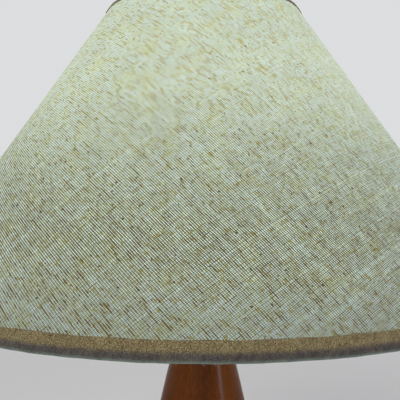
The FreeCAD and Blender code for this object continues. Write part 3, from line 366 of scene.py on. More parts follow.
print("weave group with", len(weave.nodes), "nodes")

# %% [markdown]
# ### Marks of use
# Fingers leave patches that are a little duller, a lathe leaves fine rings, and dust settles on what
# faces up. All three are slight, because the lamp is kept well.

# %% Groups for smudges, lathe lines and dust
smudge, put, get = new_group("smudges", {"Place": None, "Scale": 40.0, "Low": 0.2, "High": 0.4}, ["Roughness", "Mask"])
patches = noise(smudge, put["Place"], put["Scale"], 4.0, 0.6)
mask = spread(smudge, patches, 0.38, 0.66)
room = math_node(smudge, "SUBTRACT", put["High"], put["Low"])
smudge.links.new(math_node(smudge, "MULTIPLY_ADD", mask, room, put["Low"]), get["Roughness"])
smudge.links.new(mask, get["Mask"])

lathe, put, get = new_group("lathe_lines", {"Place": None, "Pitch": 0.0004, "Strength": 1.0}, ["Height"])
spot = add(lathe, "SeparateXYZ", [put["Place"]]).outputs
squares = [times(lathe, spot[axis], spot[axis]) for axis in (0, 1)]
from_axis = math_node(lathe, "SQRT", math_node(lathe, "ADD", *squares))
path = math_node(lathe, "DIVIDE", math_node(lathe, "ADD", spot[2], from_axis), put["Pitch"])
ripple = add(lathe, "TexNoise", {"W": path, "Scale": 1.0, "Detail": 3.0}, noise_dimensions="1D").outputs["Fac"]
lathe.links.new(times(lathe, ripple, put["Strength"]), get["Height"])

dust, put, get = new_group("dust", {"Place": None, "Amount": 0.3}, ["Mask"])
facing = height_of(dust, add(dust, "NewGeometry").outputs["Normal"])
settled = spread(dust, facing, 0.55, 0.98)
patchy = spread(dust, noise(dust, put["Place"], 120.0, 4.0, 0.7), 0.35, 0.75)
dust.links.new(times(dust, times(dust, settled, patchy), put["Amount"]), get["Mask"])
DUST = (0.42, 0.40, 0.36)


def smudged(net, here, scale, low, high):
    return place_group(net, smudge, Place=here, Scale=scale, Low=low, High=high)


def turned_lines(net, here, pitch, strength):
    return place_group(net, lathe, Place=here, Pitch=pitch, Strength=strength)["Height"]


def dusted(net, here, tone, amount):
    return mix(net, place_group(net, dust, Place=here, Amount=amount)["Mask"], tone, DUST)


print("groups:", sorted(g.name for g in bpy.data.node_groups))

# %% [markdown]
# ## Turned hardwood under lacquer
# The body is one turned block of reddish-brown hardwood with its grain upright, so the rings show as long
# flames. The colour follows a ring pattern stretched along Z, then come the pores, and a clear coat on top.

# %% Wood
WOOD_DARK = (0.048, 0.011, 0.0002)
WOOD_MIDDLE = (0.104, 0.026, 0.0002)
WOOD_LIGHT = (0.160, 0.047, 0.0006)


def turned_wood():
    made, net, shader, here = material("turned_wood", Coat_Roughness=0.2, Specular_IOR_Level=0.05, IOR=1.3)
    waves = stretched(net, here, (1.0, 1.0, 0.09))
    sway = noise(net, waves, 22.0, 3.0)
    spot = add(net, "SeparateXYZ", [waves]).outputs
    heart = math_node(net, "ADD", spot[0], times(net, spot[2], 0.35))
    ring = math_node(net, "MULTIPLY_ADD", sway, 5.5, times(net, heart, 210.0))
    ring = math_node(net, "MULTIPLY_ADD", math_node(net, "SINE", ring), 0.5, 0.5)
    broad = noise(net, stretched(net, here, (1.0, 1.0, 0.16)), 30.0, 3.0)
    fibres = noise(net, stretched(net, here, (1.0, 1.0, 0.035)), 900.0, 3.0, 0.65)
    tone = math_node(net, "ADD", times(net, ring, 0.20), times(net, broad, 0.36))
    tone = math_node(net, "MULTIPLY_ADD", fibres, 0.58, tone)
    ramp = add(net, "ValToRGB", [tone])
    stops = ramp.color_ramp.elements
    stops[0].position, stops[0].color = 0.30, (*WOOD_DARK, 1.0)
    stops[1].position, stops[1].color = 0.86, (*WOOD_LIGHT, 1.0)
    stops.new(0.58).color = (*WOOD_MIDDLE, 1.0)
    pores = spread(net, noise(net, stretched(net, here, (1.0, 1.0, 0.05)), 1500.0, 1.0), 0.66, 0.76)
    tinted = mix(net, times(net, pores, 0.6), ramp.outputs["Color"], WOOD_DARK)
    height = height_of(net, here)
    scuffs = spread(net, noise(net, here, 160.0, 4.0, 0.7), 0.5, 0.7)
    rubbed = times(net, spread(net, height, 0.010, 0.0035), scuffs)
    tinted = mix(net, times(net, rubbed, 0.55), tinted, WOOD_LIGHT)
    tinted = dusted(net, here, tinted, 0.16)
    marks = smudged(net, here, 26.0, 0.26, 0.40)
    lines = turned_lines(net, here, 0.0009, 0.5)
    surface = math_node(net, "SUBTRACT", lines, times(net, pores, 0.8))
    coat = spread(net, rubbed, 0.0, 1.0, 0.22, 0.05)
    wire(net, shader, Base_Color=tinted, Roughness=marks["Roughness"], Coat_Weight=coat)
    wire(net, shader, Normal=bump(net, surface, 0.00004, 0.5))
    return made


# %% [markdown]
# ## Brass, steel and iron
# The brass parts are turned or pressed and lacquered, with a slow brownish change of tone where the lacquer
# is thin. Wires are drawn, not turned, so their brass has no lathe lines, but streaks along the wire.

# %% Metals
BRASS = (0.66, 0.46, 0.19)
BRASS_DULL = (0.40, 0.25, 0.09)


def brass(name, turned):
    made, net, shader, here = material(name, Metallic=1.0, Coat_Weight=0.25, Coat_Roughness=0.15)
    marks = smudged(net, here, 75.0, 0.20, 0.40)
    patina = spread(net, noise(net, here, 210.0, 5.0, 0.65), 0.42, 0.78)
    tone = mix(net, times(net, patina, 0.75), BRASS, BRASS_DULL)
    tone = dusted(net, here, tone, 0.20)
    if turned:
        surface = turned_lines(net, here, 0.00035, 1.0)
    else:
        surface = noise(net, stretched(net, here, (1.0, 1.0, 0.2)), 900.0, 2.0)
    wire(net, shader, Base_Color=tone, Roughness=marks["Roughness"], Normal=bump(net, surface, 0.00003, 0.6))
    return made


def plated_steel():
    made, net, shader, here = material("zinc_plated_steel", Metallic=1.0)
    marks = smudged(net, here, 110.0, 0.28, 0.5)
    flowers = add(net, "TexVoronoi", {"Vector": here, "Scale": 420.0}).outputs["Color"]
    share = add(net, "SeparateColor", [flowers]).outputs[0]
    tone = mix(net, share, (0.52, 0.53, 0.55), (0.68, 0.66, 0.58))
    lines = turned_lines(net, here, 0.0005, 0.7)
    wire(net, shader, Base_Color=tone, Roughness=marks["Roughness"], Normal=bump(net, lines, 0.00004))
    return made


def cast_iron():
    made, net, shader, here = material("cast_iron", Metallic=0.7)
    grains = noise(net, here, 700.0, 5.0, 0.75)
    rust = spread(net, noise(net, here, 90.0, 4.0, 0.7), 0.55, 0.75)
    tone = mix(net, times(net, rust, 0.5), grey(0.09), (0.16, 0.06, 0.025))
    rough = spread(net, grains, 0.2, 0.8, 0.5, 0.8)
    wire(net, shader, Base_Color=tone, Roughness=rough, Normal=bump(net, grains, 0.0003))
    return made


def aluminium():
    made, net, shader, here = material("rolled_aluminium", Metallic=1.0)
    marks = smudged(net, here, 130.0, 0.22, 0.42)
    lines = turned_lines(net, here, 0.0003, 0.8)
    tone = mix(net, marks["Mask"], (0.78, 0.78, 0.77), (0.60, 0.60, 0.60))
    wire(net, shader, Base_Color=tone, Roughness=marks["Roughness"], Normal=bump(net, lines, 0.00003))
    return made


# %% [markdown]
# ## Plastics, paint, card and glass
# These share one recipe: a tone that drifts a little, smudges in the gloss and a fine moulded or rolled grain.
# One function makes them all, and each keeps its own colours, gloss and grain size.

# %% Plastics and paint
def moulded(name, light, dark, gloss, grain_size, grain_depth, dusty=0.1, **constants):
    made, net, shader, here = material(name, **constants)
    drift = spread(net, noise(net, here, 55.0, 3.0), 0.35, 0.65)
    tone = mix(net, drift, light, dark)
    tone = dusted(net, here, tone, dusty)
    marks = smudged(net, here, 95.0, gloss[0], gloss[1])
    grain = noise(net, here, 1.0 / grain_size, 2.0)
    wire(net, shader, Base_Color=tone, Roughness=marks["Roughness"], Normal=bump(net, grain, grain_depth))
    return made


# %% [markdown]
# ## What the lit bulb shines through
# Tracing the bulb's light through its dome and the shade's film would be slow and grainy, so each gets a glow
# of its own, worked out from its height.

# %% Glowing pieces and glass
def glowing_dome():
    """The bulb's opal dome: an even glow that falls off towards its rim, where the light has further to go."""
    low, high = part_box("bulb_diffuser")
    made, net, shader, here = material("opal_dome", Emission_Strength=1.5)
    height = height_of(net, here)
    level_up = spread(net, height, low.z, high.z - 0.006)
    tone = mix(net, level_up, (0.62, 0.60, 0.52), (1.0, 0.99, 0.93))
    cloud = mix(net, noise(net, here, 60.0, 2.0), tone, (0.95, 0.94, 0.86))
    marks = smudged(net, here, 60.0, 0.22, 0.36)
    # Painted shade: the dome's base colour is a little darker towards its rim, along the same height as its glow.
    base_shaded_low = mix(net, level_up, grey(0.80), grey(0.86))
    wire(net, shader, Emission_Color=cloud, Roughness=marks["Roughness"], Base_Color=base_shaded_low)
    return made


def lit_inside(name, light, dark):
    """Stiff white film inside the shade, bright near the bulb and dimmer towards the lower rim."""
    low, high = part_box("shade_liner")
    made, net, shader, here = material(name, Emission_Strength=1.0)
    height = height_of(net, here)
    glow = spread(net, height, low.z, low.z + 0.66 * (high.z - low.z), 0.30, 0.62)
    cloud = spread(net, noise(net, here, 14.0, 3.0), 0.3, 0.7, 0.93, 1.05)
    grain = noise(net, here, 1400.0, 2.0)
    lamp_tone = mix(net, grain, light, dark)
    shown = scaled(net, lamp_tone, times(net, glow, cloud))
    film = mix(net, cloud, (0.62, 0.61, 0.55), (0.66, 0.65, 0.60))
    wire(net, shader, Emission_Color=shown, Base_Color=film)
    wire(net, shader, Roughness=spread(net, grain, 0.3, 0.7, 0.42, 0.55), Normal=bump(net, grain, 0.00004))
    return made


def insulating_glass():
    made, net, shader, here = material("black_glass", IOR=1.5, Coat_Weight=0.3)
    swirl = noise(net, here, 260.0, 3.0)
    wire(net, shader, Base_Color=mix(net, swirl, (0.012, 0.010, 0.028), (0.03, 0.025, 0.06)))
    wire(net, shader, Roughness=spread(net, swirl, 0.3, 0.7, 0.05, 0.14), Normal=bump(net, swirl, 0.00005))
    return made


# %% [markdown]
# ## Which piece gets which finish
# Every solid piece that keeps its shape is listed once, next to its finish. Pieces of one metal share theirs.

# %% Put the finishes on
finish_of = {
    "wood_body": turned_wood(),
    "neck_cap socket_cap socket_shell socket_screw_shell socket_terminal_screws harp_top_block harp_stud "
    "spider_washer finial": brass("brass_turned", True),
    "harp_wire harp_saddle harp_sleeve_left harp_sleeve_right spider_arms socket_centre_contact": brass(
        "brass_drawn", False,
    ),
    "threaded_rod rod_washer rod_nut socket_set_screw switch_shaft bulb_tip_contact": plated_steel(),
    "base_weight": cast_iron(),
    "bulb_screw_base": aluminium(),
    "cord_bushing": moulded(
        "bushing_plastic", (0.022, 0.020, 0.018), (0.032, 0.029, 0.026), (0.25, 0.45), 0.0003, 0.00003,
    ),
    "switch_knob": moulded(
        "knob_plastic", (0.018, 0.015, 0.013), (0.030, 0.024, 0.020), (0.12, 0.32), 0.0006, 0.00002, Coat_Weight=0.3,
    ),
    "socket_interior switch_cam": moulded(
        "phenolic", (0.060, 0.032, 0.018), (0.040, 0.022, 0.014), (0.35, 0.55), 0.0005, 0.00004,
    ),
    "socket_liner": moulded("fibre_card", (0.36, 0.27, 0.16), (0.28, 0.20, 0.11), (0.70, 0.85), 0.0004, 0.00008),
    "shade_top_ring shade_bottom_ring": moulded(
        "white_enamel", (0.74, 0.74, 0.70), (0.68, 0.67, 0.62), (0.18, 0.34), 0.0009, 0.00003, Coat_Weight=0.4,
    ),
    "bulb_housing": moulded("white_housing", (0.78, 0.78, 0.76), (0.72, 0.72, 0.69), (0.28, 0.42), 0.0004, 0.00002),
    "bulb_led_board": moulded("circuit_white", (0.80, 0.81, 0.79), (0.72, 0.74, 0.72), (0.35, 0.5), 0.0006, 0.00002),
    "bulb_driver_board": moulded(
        "circuit_green", (0.035, 0.20, 0.09), (0.02, 0.13, 0.05), (0.3, 0.45), 0.0012, 0.00005,
    ),
    "bulb_led_chips": moulded("led_yellow", (0.86, 0.62, 0.10), (0.78, 0.52, 0.07), (0.2, 0.35), 0.0004, 0.00002),
    "bulb_diffuser": glowing_dome(),
    "shade_liner": lit_inside("lit_liner", (1.0, 0.99, 0.90), (0.97, 0.97, 0.90)),
    "bulb_insulator": insulating_glass(),
}


def paint(piece, finish):
    piece.data.materials.clear()
    piece.data.materials.append(finish)


for names, finish in finish_of.items():
    for name in names.split():
        paint(nodes[name], finish)
print(len(finish_of), "finishes on", sum(len(names.split()) for names in finish_of), "solid pieces")

# %% [markdown]
# ## The shade's cone
# The shade's wall is a cone. A place on it is given by two lengths: how far up the slope from the lower edge,
# and how far out from the cloth's face. Every cloth piece below is laid out with these two.

# %% Places on the cone
RIM_RADIUS, RIM_HEIGHT = 0.174, 0.3244
CROWN_RADIUS, SHADE_RISE = 0.0605, 0.166
SLOPE = math.atan2(RIM_RADIUS - CROWN_RADIUS, SHADE_RISE)
SLOPE_LENGTH = math.hypot(RIM_RADIUS - CROWN_RADIUS, SHADE_RISE)
APEX_HEIGHT = RIM_HEIGHT + RIM_RADIUS / math.tan(SLOPE)
EDGE_INSET = 0.0005
LINEN_THICKNESS = 0.0006


def on_cone(along, out):
    """Radius and height of a place on the shade's wall."""
    radius = RIM_RADIUS - along * math.sin(SLOPE) + out * math.cos(SLOPE)
    return radius, RIM_HEIGHT + along * math.cos(SLOPE) + out * math.sin(SLOPE)


print("slope", round(math.degrees(SLOPE), 2), "degrees,", round(SLOPE_LENGTH * 1000, 1), "mm long")

# %% [markdown]
# ## Small tools for shaping
# Pieces are shaped in edit mode and all finished the same way: modifiers applied, the place put into the mesh,
# gentle angles smoothed, and the piece hung on the body that carries it.

# %% Helpers for shaping
def pick(*pieces):
    """Selects these pieces alone, the first one active."""
    bpy.ops.object.select_all(action="DESELECT")
    for piece in pieces:
        piece.select_set(True)
    bpy.context.view_layer.objects.active = pieces[0]


def edit(piece):
    pick(piece)
    bpy.ops.object.mode_set(mode="EDIT")


def object_mode():
    bpy.ops.object.mode_set(mode="OBJECT")


def settle(piece, name, body, finish, smooth=40.0):
    """Names a finished piece, puts its place in its mesh, smooths it, and lets it ride on its body."""
    pick(piece)
    bpy.ops.object.transform_apply(location=True, rotation=True, scale=True)
    for modifier in list(piece.modifiers):
        bpy.ops.object.modifier_apply(modifier=modifier.name)
    bpy.ops.object.shade_smooth_by_angle(angle=math.radians(smooth))
    piece.name = name
    piece.data.name = name
    piece.select_set(False)
    paint(piece, finish)
    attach(piece, body)
    print(f"{name}: {len(piece.data.vertices)} points, {len(piece.data.polygons)} faces")
    return piece


def face_outwards():
    """In edit mode, turns every face's outer side outwards."""
    bpy.ops.mesh.select_all(action="SELECT")
    bpy.ops.mesh.normals_make_consistent(inside=False)


def cut_into_rings(cone, length, cuts):
    """Cuts the edges of a cone that run from end to end, so that it gets rings of faces."""
    edit(cone)
    shape = bmesh.from_edit_mesh(cone.data)
    for edge in shape.edges:
        edge.select_set(abs(edge.verts[0].co.z - edge.verts[1].co.z) > length / 2)
    bmesh.update_edit_mesh(cone.data)
    bpy.ops.mesh.subdivide(number_cuts=cuts)
    object_mode()


def ring_wall(profile, segments):
    """A round wall drawn ring by ring: a circle, extruded and resized to each next radius and height."""
    radius, height = profile[0]
    bpy.ops.mesh.primitive_circle_add(vertices=segments, radius=radius, location=(0, 0, height))
    piece = bpy.context.object
    bpy.ops.object.transform_apply(location=True)
    edit(piece)
    bpy.ops.mesh.select_all(action="SELECT")
    for next_radius, next_height in profile[1:]:
        move = {"value": (0, 0, next_height - height)}
        bpy.ops.mesh.extrude_region_move(TRANSFORM_OT_translate=move)
        share = next_radius / radius
        bpy.ops.transform.resize(value=(share, share, 1), center_override=(0, 0, next_height))
        radius, height = next_radius, next_height
    face_outwards()
    object_mode()
    return piece


def copies(piece, count):
    """The piece itself and as many copies, each with its own mesh, as make up the count."""
    made = [piece]
    while len(made) < count:
        made.append(piece.copy())
        made[-1].data = piece.data.copy()
        bpy.context.scene.collection.objects.link(made[-1])
    return made


def thicken(piece, thickness, offset):
    wall = piece.modifiers.new("wall", "SOLIDIFY")
    wall.thickness = thickness
    wall.offset = offset
    return wall


def around(point):
    """The angle of a point about the lamp's axis, 0 at the front and half a turn at the back."""
    return math.atan2(point.x, -point.y)


def corners(piece, at_back=False):
    """Each face corner's number, point and angle. The angle doesn't jump by a full turn within a face."""
    for face in piece.data.polygons:
        side = around(face.center)
        for loop in face.loop_indices:
            point = piece.data.vertices[piece.data.loops[loop].vertex_index]
            turn = around(point.co)
            if at_back:
                turn %= math.tau
            elif abs(turn - side) > math.pi:
                turn += math.copysign(math.tau, side)
            yield loop, point, turn


def ripple_sum(angle, waves, seed):
    """A smooth uneven line round the shade: a few sine waves with whole numbers of turns."""
    return sum(math.sin(turns * angle + seed * (i + 1) ** 2) / (i + 1) for i, turns in enumerate(waves))


print("helpers for shaping are ready")

# %% [markdown]
# ## Linen
# The cloth is one flat piece, cut on the bias as a sector of a ring and rolled up, so its threads cross
# slantwise and turn as they go round. Its UV map is that flat cut in metres. With the bulb lit, light comes
# through the gaps and the threads stay brown, and more light comes through near the bulb than at the rim.

# %% Linen's finish
WARP_PITCH, WEFT_PITCH, WEFT_SKEW = 0.000953, 0.000686, 0.05
BIAS = math.radians(41.1)
RIM_FADE = (0.328, 0.362)  # heights between which the rim's tone fades into the one above it
BULB_FADE = (0.350, 0.446)  # heights between which that one fades into the tone beside the bulb


def cloth_place(net, turn):
    flat = add(net, "UVMap", uv_map="cut").outputs[0]
    return flat, add(net, "Mapping", {"Vector": flat, "Rotation": (0, 0, -turn)}).outputs[0]


def linen(name, strength):
    """Lit from inside: the light's full strength, dimmed and browned wherever a thread lies in its way."""
    made, net, shader, here = material(
        name, Roughness=0.9, Emission_Strength=strength, Specular_IOR_Level=0.2, Sheen_Weight=0.1,
    )
    flat, turned_place = cloth_place(net, BIAS)
    cloth = place_group(
        net, weave, Place=turned_place, Warp_Pitch=WARP_PITCH, Weft_Pitch=WEFT_PITCH, Skew=WEFT_SKEW,
        Thickness=0.60, Unevenness=0.68,
    )
    height = height_of(net, here)
    off_rim, near_bulb = spread(net, height, *RIM_FADE), spread(net, height, *BULB_FADE)

    def by_height(at_rim, above, beside):
        """One colour at the rim, one above it and one beside the bulb, each fading into the next."""
        return mix(net, near_bulb, mix(net, off_rim, at_rim, above), beside)

    light = by_height((0.38, 0.52, 0.60), (0.73, 0.94, 0.95), (0.67, 0.83, 0.85))
    dimming = {
        "Warp": ((0.52, 0.48, 0.34), (0.13, 0.12, 0.05), (0.71, 0.69, 0.58)),
        "Weft": ((0.30, 0.27, 0.18), (0.17, 0.16, 0.08), (0.72, 0.72, 0.62)),
        "Blotch": ((0.70, 0.55, 0.22), (0.63, 0.47, 0.14), (0.90, 0.80, 0.42)),
        "Slub": ((0.40, 0.26, 0.06), (0.30, 0.18, 0.03), (0.73, 0.57, 0.19)),
        "Fleck": ((0.14, 0.09, 0.04), (0.08, 0.05, 0.02), (0.34, 0.24, 0.09)),
    }
    for mask, tones in dimming.items():
        light = mix(net, cloth[mask], light, by_height(*tones), "MULTIPLY")
    cloud = spread(net, noise(net, flat, 46.0, 4.0, 0.6), 0.25, 0.75, 0.94, 1.06)
    fuzz = math_node(net, "SUBTRACT", noise(net, flat, 1300.0, 2.0, 0.7), 0.5)
    cloud = math_node(net, "MULTIPLY_ADD", fuzz, spread(net, height, *BULB_FADE, 1.2, 0.2), cloud)
    yellow = spread(net, noise(net, flat, 95.0, 3.0, 0.6), 0.40, 0.75)
    light = mix(net, times(net, yellow, 0.75), light, (1.0, 0.94, 0.66), "MULTIPLY")
    brown = math_node(net, "MAXIMUM", times(net, cloth["Slub"], 0.62), cloth["Fleck"])
    base = mix(net, cloth["Shade"], (0.074, 0.064, 0.032), (0.108, 0.096, 0.052))
    base = mix(net, brown, base, (0.060, 0.036, 0.014))
    wire(net, shader, Base_Color=base, Emission_Color=scaled(net, light, cloud))
    wire(net, shader, Normal=bump(net, cloth["Height"], 0.00022, 0.7))
    return made


# %% [markdown]
# ### The linen itself
# A cone primitive with open ends has one row of faces from edge to edge. Cutting its slanting edges gives it
# rings, its UV map is worked out from the cone's apex, and Solidify then gives it the cloth's thickness.

# %% Roll up the linen
bottom_radius, bottom_height = on_cone(EDGE_INSET, 0)
top_radius, top_height = on_cone(SLOPE_LENGTH - EDGE_INSET, 0)
bpy.ops.mesh.primitive_cone_add(
    vertices=320, radius1=bottom_radius, radius2=top_radius, depth=top_height - bottom_height,
    end_fill_type="NOTHING", location=(0, 0, (top_height + bottom_height) / 2),
)
cone = bpy.context.object
bpy.ops.object.transform_apply(location=True)
cut_into_rings(cone, SHADE_RISE, 48)


def flat_cut_map(piece, at_back=False):
    """A UV map in metres of the flat cut: distance from the cone's apex, and the turn that unrolling leaves."""
    layer = piece.data.uv_layers.new(name="cut")
    for loop, point, turn in corners(piece, at_back):
        reach = math.hypot(point.co.x, point.co.y, APEX_HEIGHT - point.co.z)
        opened = turn * math.sin(SLOPE)
        layer.data[loop].uv = (reach * math.sin(opened), -reach * math.cos(opened))


flat_cut_map(cone)
thicken(cone, LINEN_THICKNESS, -1)
linen_shade = settle(cone, "linen_shade", "shade", linen("lit_linen", 1.0))
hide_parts("shade_fabric")

# %% [markdown]
# ### The lap at the back
# The rolled-up cloth closes at the back, where one edge is folded under and laps over the other. The lap is a
# narrow strip of the same cloth. It starts as a flat grid, and each of its points is then put on the cone.

# %% Lap the linen at the back
LAP_WIDTH, LAP_THICKNESS = 0.009, 0.0005
LAP_OUT, LAP_BELOW, LAP_ABOVE = 0.0001, 0.0052, 0.0045  # off the linen, and short of its lower and upper edge


def strip_on_cone(width, low_end, high_end, out, rows):
    """A flat grid whose points are put on the back of the cone: across by arc length, along by slope."""
    bpy.ops.mesh.primitive_grid_add(x_subdivisions=8, y_subdivisions=rows, size=2)
    piece = bpy.context.object
    for point in piece.data.vertices:
        radius, height = on_cone(low_end + (high_end - low_end) * (point.co.y + 1) / 2, out)
        turn = math.pi + point.co.x * width / 2 / radius
        point.co = (radius * math.sin(turn), -radius * math.cos(turn), height)
    return piece


lap = strip_on_cone(LAP_WIDTH, LAP_BELOW, SLOPE_LENGTH - LAP_ABOVE, LAP_OUT, 120)
flat_cut_map(lap, at_back=True)
for point in lap.data.vertices:
    if point.co.x < -LAP_WIDTH * 0.3:  # the folded side, which isn't quite straight
        point.co.x += 0.00016 * math.sin(point.co.z * 900) + 0.0001 * math.sin(point.co.z * 2310)
lap.data.flip_normals()
thicken(lap, LAP_THICKNESS, 1)
linen_lap = settle(lap, "linen_lap", "shade", linen("lit_linen_doubled", 0.72))
print("lap", LAP_WIDTH * 1000, "x", round((SLOPE_LENGTH - LAP_BELOW - LAP_ABOVE) * 1000, 1), "mm")

# %% [markdown]
# ## Hems
# Each edge of the shade is bound with a strip of the same linen, cut on the bias so that it follows the
# curve. It is glued outside as a narrow band, goes round the wire ring and is turned in against the liner.
# A circle is extruded ring by ring along that folded line, and then small puckers are pushed into it.

# %% Hem's finish
HEM_PITCH = 0.00062
# ROUND_WIRE is where the band's tan fades into the painted shade of the fold round the wire.
ROUND_WIRE = (-0.0014, 0.0008)  # where, across the strip, the band's tone fades into that of the fold
LIT_FOLD, TURNED_IN = (0.0016, 0.0034), (0.0058, 0.0080)


def hem_linen():
    """Bias strip with a closer weave. V runs across it, from the line where it starts to go round the wire. Where it
    goes round the wire, its colour is painted darker as shade, and less light comes through.
    """
    made, net, shader, _ = material(
        "hem_linen", Roughness=0.92, Emission_Strength=1.0, Specular_IOR_Level=0.15, Sheen_Weight=0.1,
    )
    flat, turned_place = cloth_place(net, math.radians(45))
    cloth = place_group(
        net, weave, Place=turned_place, Warp_Pitch=HEM_PITCH, Weft_Pitch=HEM_PITCH, Thickness=0.66, Unevenness=0.7,
    )
    girth = add(net, "SeparateXYZ", [flat]).outputs[1]
    blotch = noise(net, flat, 190.0, 4.0, 0.65)
    grain = noise(net, flat, 2300.0, 1.0)
    ribs = noise(net, stretched(net, flat, (1.0, 0.12, 1.0)), 1300.0, 2.0, 0.6)
    # Painted shade: the band's colour and grain are painted darker where the strip curves under round the wire, and
    # less light comes through there.
    shaded_round_wire = spread(net, girth, *ROUND_WIRE)
    tan = mix(net, cloth["Shade"], (0.145, 0.118, 0.052), (0.200, 0.166, 0.080))
    painted_wire_shade = mix(net, cloth["Shade"], (0.058, 0.052, 0.050), (0.088, 0.080, 0.074))
    base = mix(net, shaded_round_wire, tan, painted_wire_shade)
    grain_shown = spread(net, girth, *ROUND_WIRE, 1.0, 0.55)
    dark_grain = times(net, spread(net, grain, 0.36, 0.52, 0.9, 0.0), grain_shown)
    base = mix(net, dark_grain, base, (0.32, 0.23, 0.16), "MULTIPLY")
    pale_grain = mix(net, shaded_round_wire, (0.42, 0.38, 0.25), grey(0.12))
    base = mix(net, spread(net, grain, 0.54, 0.66, 0.0, 0.6), base, pale_grain)
    base = mix(net, spread(net, ribs, 0.30, 0.55, 0.6, 0.0), base, (0.55, 0.45, 0.38), "MULTIPLY")
    base = mix(net, spread(net, blotch, 0.45, 0.7, 0.0, 0.2), base, (0.23, 0.185, 0.09))
    knots = spread(net, noise(net, flat, 430.0, 1.0), 0.70, 0.78)
    brown = math_node(net, "MAXIMUM", times(net, cloth["Slub"], 0.5), knots)
    base = mix(net, brown, base, (0.035, 0.020, 0.010))
    lit_edge = times(net, spread(net, girth, *LIT_FOLD), spread(net, blotch, 0.2, 0.7, 0.6, 1.2))
    light = mix(net, shaded_round_wire, (0.030, 0.024, 0.010), grey(0.0))
    light = mix(net, lit_edge, light, (0.060, 0.095, 0.075))
    inside = mix(net, cloth["Shade"], (0.24, 0.22, 0.15), (0.34, 0.32, 0.23))
    inside = mix(net, spread(net, grain, 0.36, 0.52, 0.6, 0.0), inside, (0.50, 0.42, 0.28), "MULTIPLY")
    light = mix(net, spread(net, girth, *TURNED_IN), light, inside)
    wire(net, shader, Base_Color=base, Emission_Color=light, Normal=bump(net, cloth["Height"], 0.0002, 0.8))
    return made


hem_finish = hem_linen()

# %% [markdown]
# ### Folding the hems
# The strip's line is drawn as pairs of lengths: along the slope from the shade's edge, and out from the linen.
# It runs down the band, round the wire and back up inside, and both hems share it.

# %% Fold the hems
HEM_THICKNESS = 0.00045
HEM_FACE = 0.0006  # the band's face, out from the linen
HEM_LIP, HEM_LIP_DROP = 0.00012, 0.00025  # the band's cut edge is rounded down by this much
FOLD_START, FOLD_DEPTH, FOLD_RADIUS = 0.0008, -0.0021, 0.0027
TURN_IN = [
    (0.0017, -0.0048), (0.0029, -0.00377), (0.0041, -0.00273), (0.0053, -0.0017), (0.0082, -0.0017), (0.0110, -0.0017),
]
LIP_WAVER, PUCKER_OUT, PUCKER_UP = 0.00011, 0.00008, 0.00006


def hem_line(band):
    """The hem's outer face as distances along the slope from its edge and out from the linen."""
    line = [(band, HEM_FACE - HEM_LIP_DROP), (band - HEM_LIP, HEM_FACE)]
    line += [(FOLD_START + (band - FOLD_START) * share, HEM_FACE) for share in (0.75, 0.5, 0.25)]
    for step in range(13):
        turn = math.pi * step / 12
        line.append((FOLD_START - FOLD_RADIUS * math.sin(turn), FOLD_DEPTH + FOLD_RADIUS * math.cos(turn)))
    return line + TURN_IN


def fold_hem(band, at_top, segments):
    """One hem, with its UV map across and along the strip, and the width of the strip it takes."""
    line = hem_line(band)
    profile = [on_cone(SLOPE_LENGTH - along if at_top else along, out) for along, out in line]
    piece = ring_wall(profile, segments)
    girth = [0.0]
    for here, after in zip(line, line[1:]):
        girth.append(girth[-1] + math.dist(here, after))
    rings = np.array(profile)
    edge_radius = CROWN_RADIUS if at_top else RIM_RADIUS
    points = piece.data.vertices
    off = [np.hypot(rings[:, 0] - point.co.xy.length, rings[:, 1] - point.co.z) for point in points]
    ring_of = [int(np.argmin(distances)) for distances in off]
    layer = piece.data.uv_layers.new(name="cut")
    for loop, point, turn in corners(piece):
        layer.data[loop].uv = (turn * edge_radius, girth[ring_of[point.index]] - band)
    for point in points:
        turn = around(point.co)
        ring = ring_of[point.index]
        outward = Vector((point.co.x, point.co.y, 0)).normalized()
        if ring < 3:
            point.co.z += LIP_WAVER * ripple_sum(turn, (37, 61, 113), 1.7) * (-1 if at_top else 1)
        elif ring < 16:
            pucker = ripple_sum(turn, (46, 97, 151), 0.9) * (0.5 + 0.5 * math.sin(19 * turn + 0.4))
            point.co += outward * (PUCKER_OUT * pucker)
            point.co.z += PUCKER_UP * ripple_sum(turn, (29, 83, 127), 2.3)
    first_face = piece.data.polygons[0]
    faces_out = first_face.normal.dot(Vector((*first_face.center.xy, 0))) > 0
    thicken(piece, HEM_THICKNESS, -1 if faces_out else 1)
    return piece, girth[-1]


BOTTOM_BAND, TOP_BAND = 0.0045, 0.0034
bottom_piece, bottom_girth = fold_hem(BOTTOM_BAND, False, 720)
bottom_hem = settle(bottom_piece, "bottom_hem", "shade", hem_finish, 60)
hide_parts("shade_bottom_hem")
top_piece, top_girth = fold_hem(TOP_BAND, True, 360)
top_hem = settle(top_piece, "top_hem", "shade", hem_finish, 60)
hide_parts("shade_top_hem")
print("hem strips", round(bottom_girth * 1000, 1), "and", round(top_girth * 1000, 1), "mm wide")

# %% [markdown]
# ### Loose fibres
# Linen sheds: short fibres stand off the fold that wraps the lower wire. One fibre is a thin cone, cut into
# rings and bent, and copies of it are turned, resized and set round the fold. They could be a hair system,
# but real meshes export and stay put.

# %% Set fibres on the lower hem
FIBRE_LENGTH, FIBRE_RADIUS, FIBRE_COUNT = 0.0026, 0.00006, 260


def backlit_fibre():
    made, net, shader, here = material("backlit_fibre", Roughness=0.9, Emission_Strength=1.0, Specular_IOR_Level=0.2)
    tone = spread(net, noise(net, here, 300.0, 2.0), 0.35, 0.65)
    wire(net, shader, Base_Color=mix(net, tone, (0.30, 0.31, 0.22), (0.42, 0.45, 0.36)))
    # Painted backlight: the fibres' glow is the bulb's light shining through them from behind.
    wire(net, shader, Emission_Color=mix(net, tone, (0.06, 0.09, 0.07), (0.09, 0.13, 0.11)))
    return made


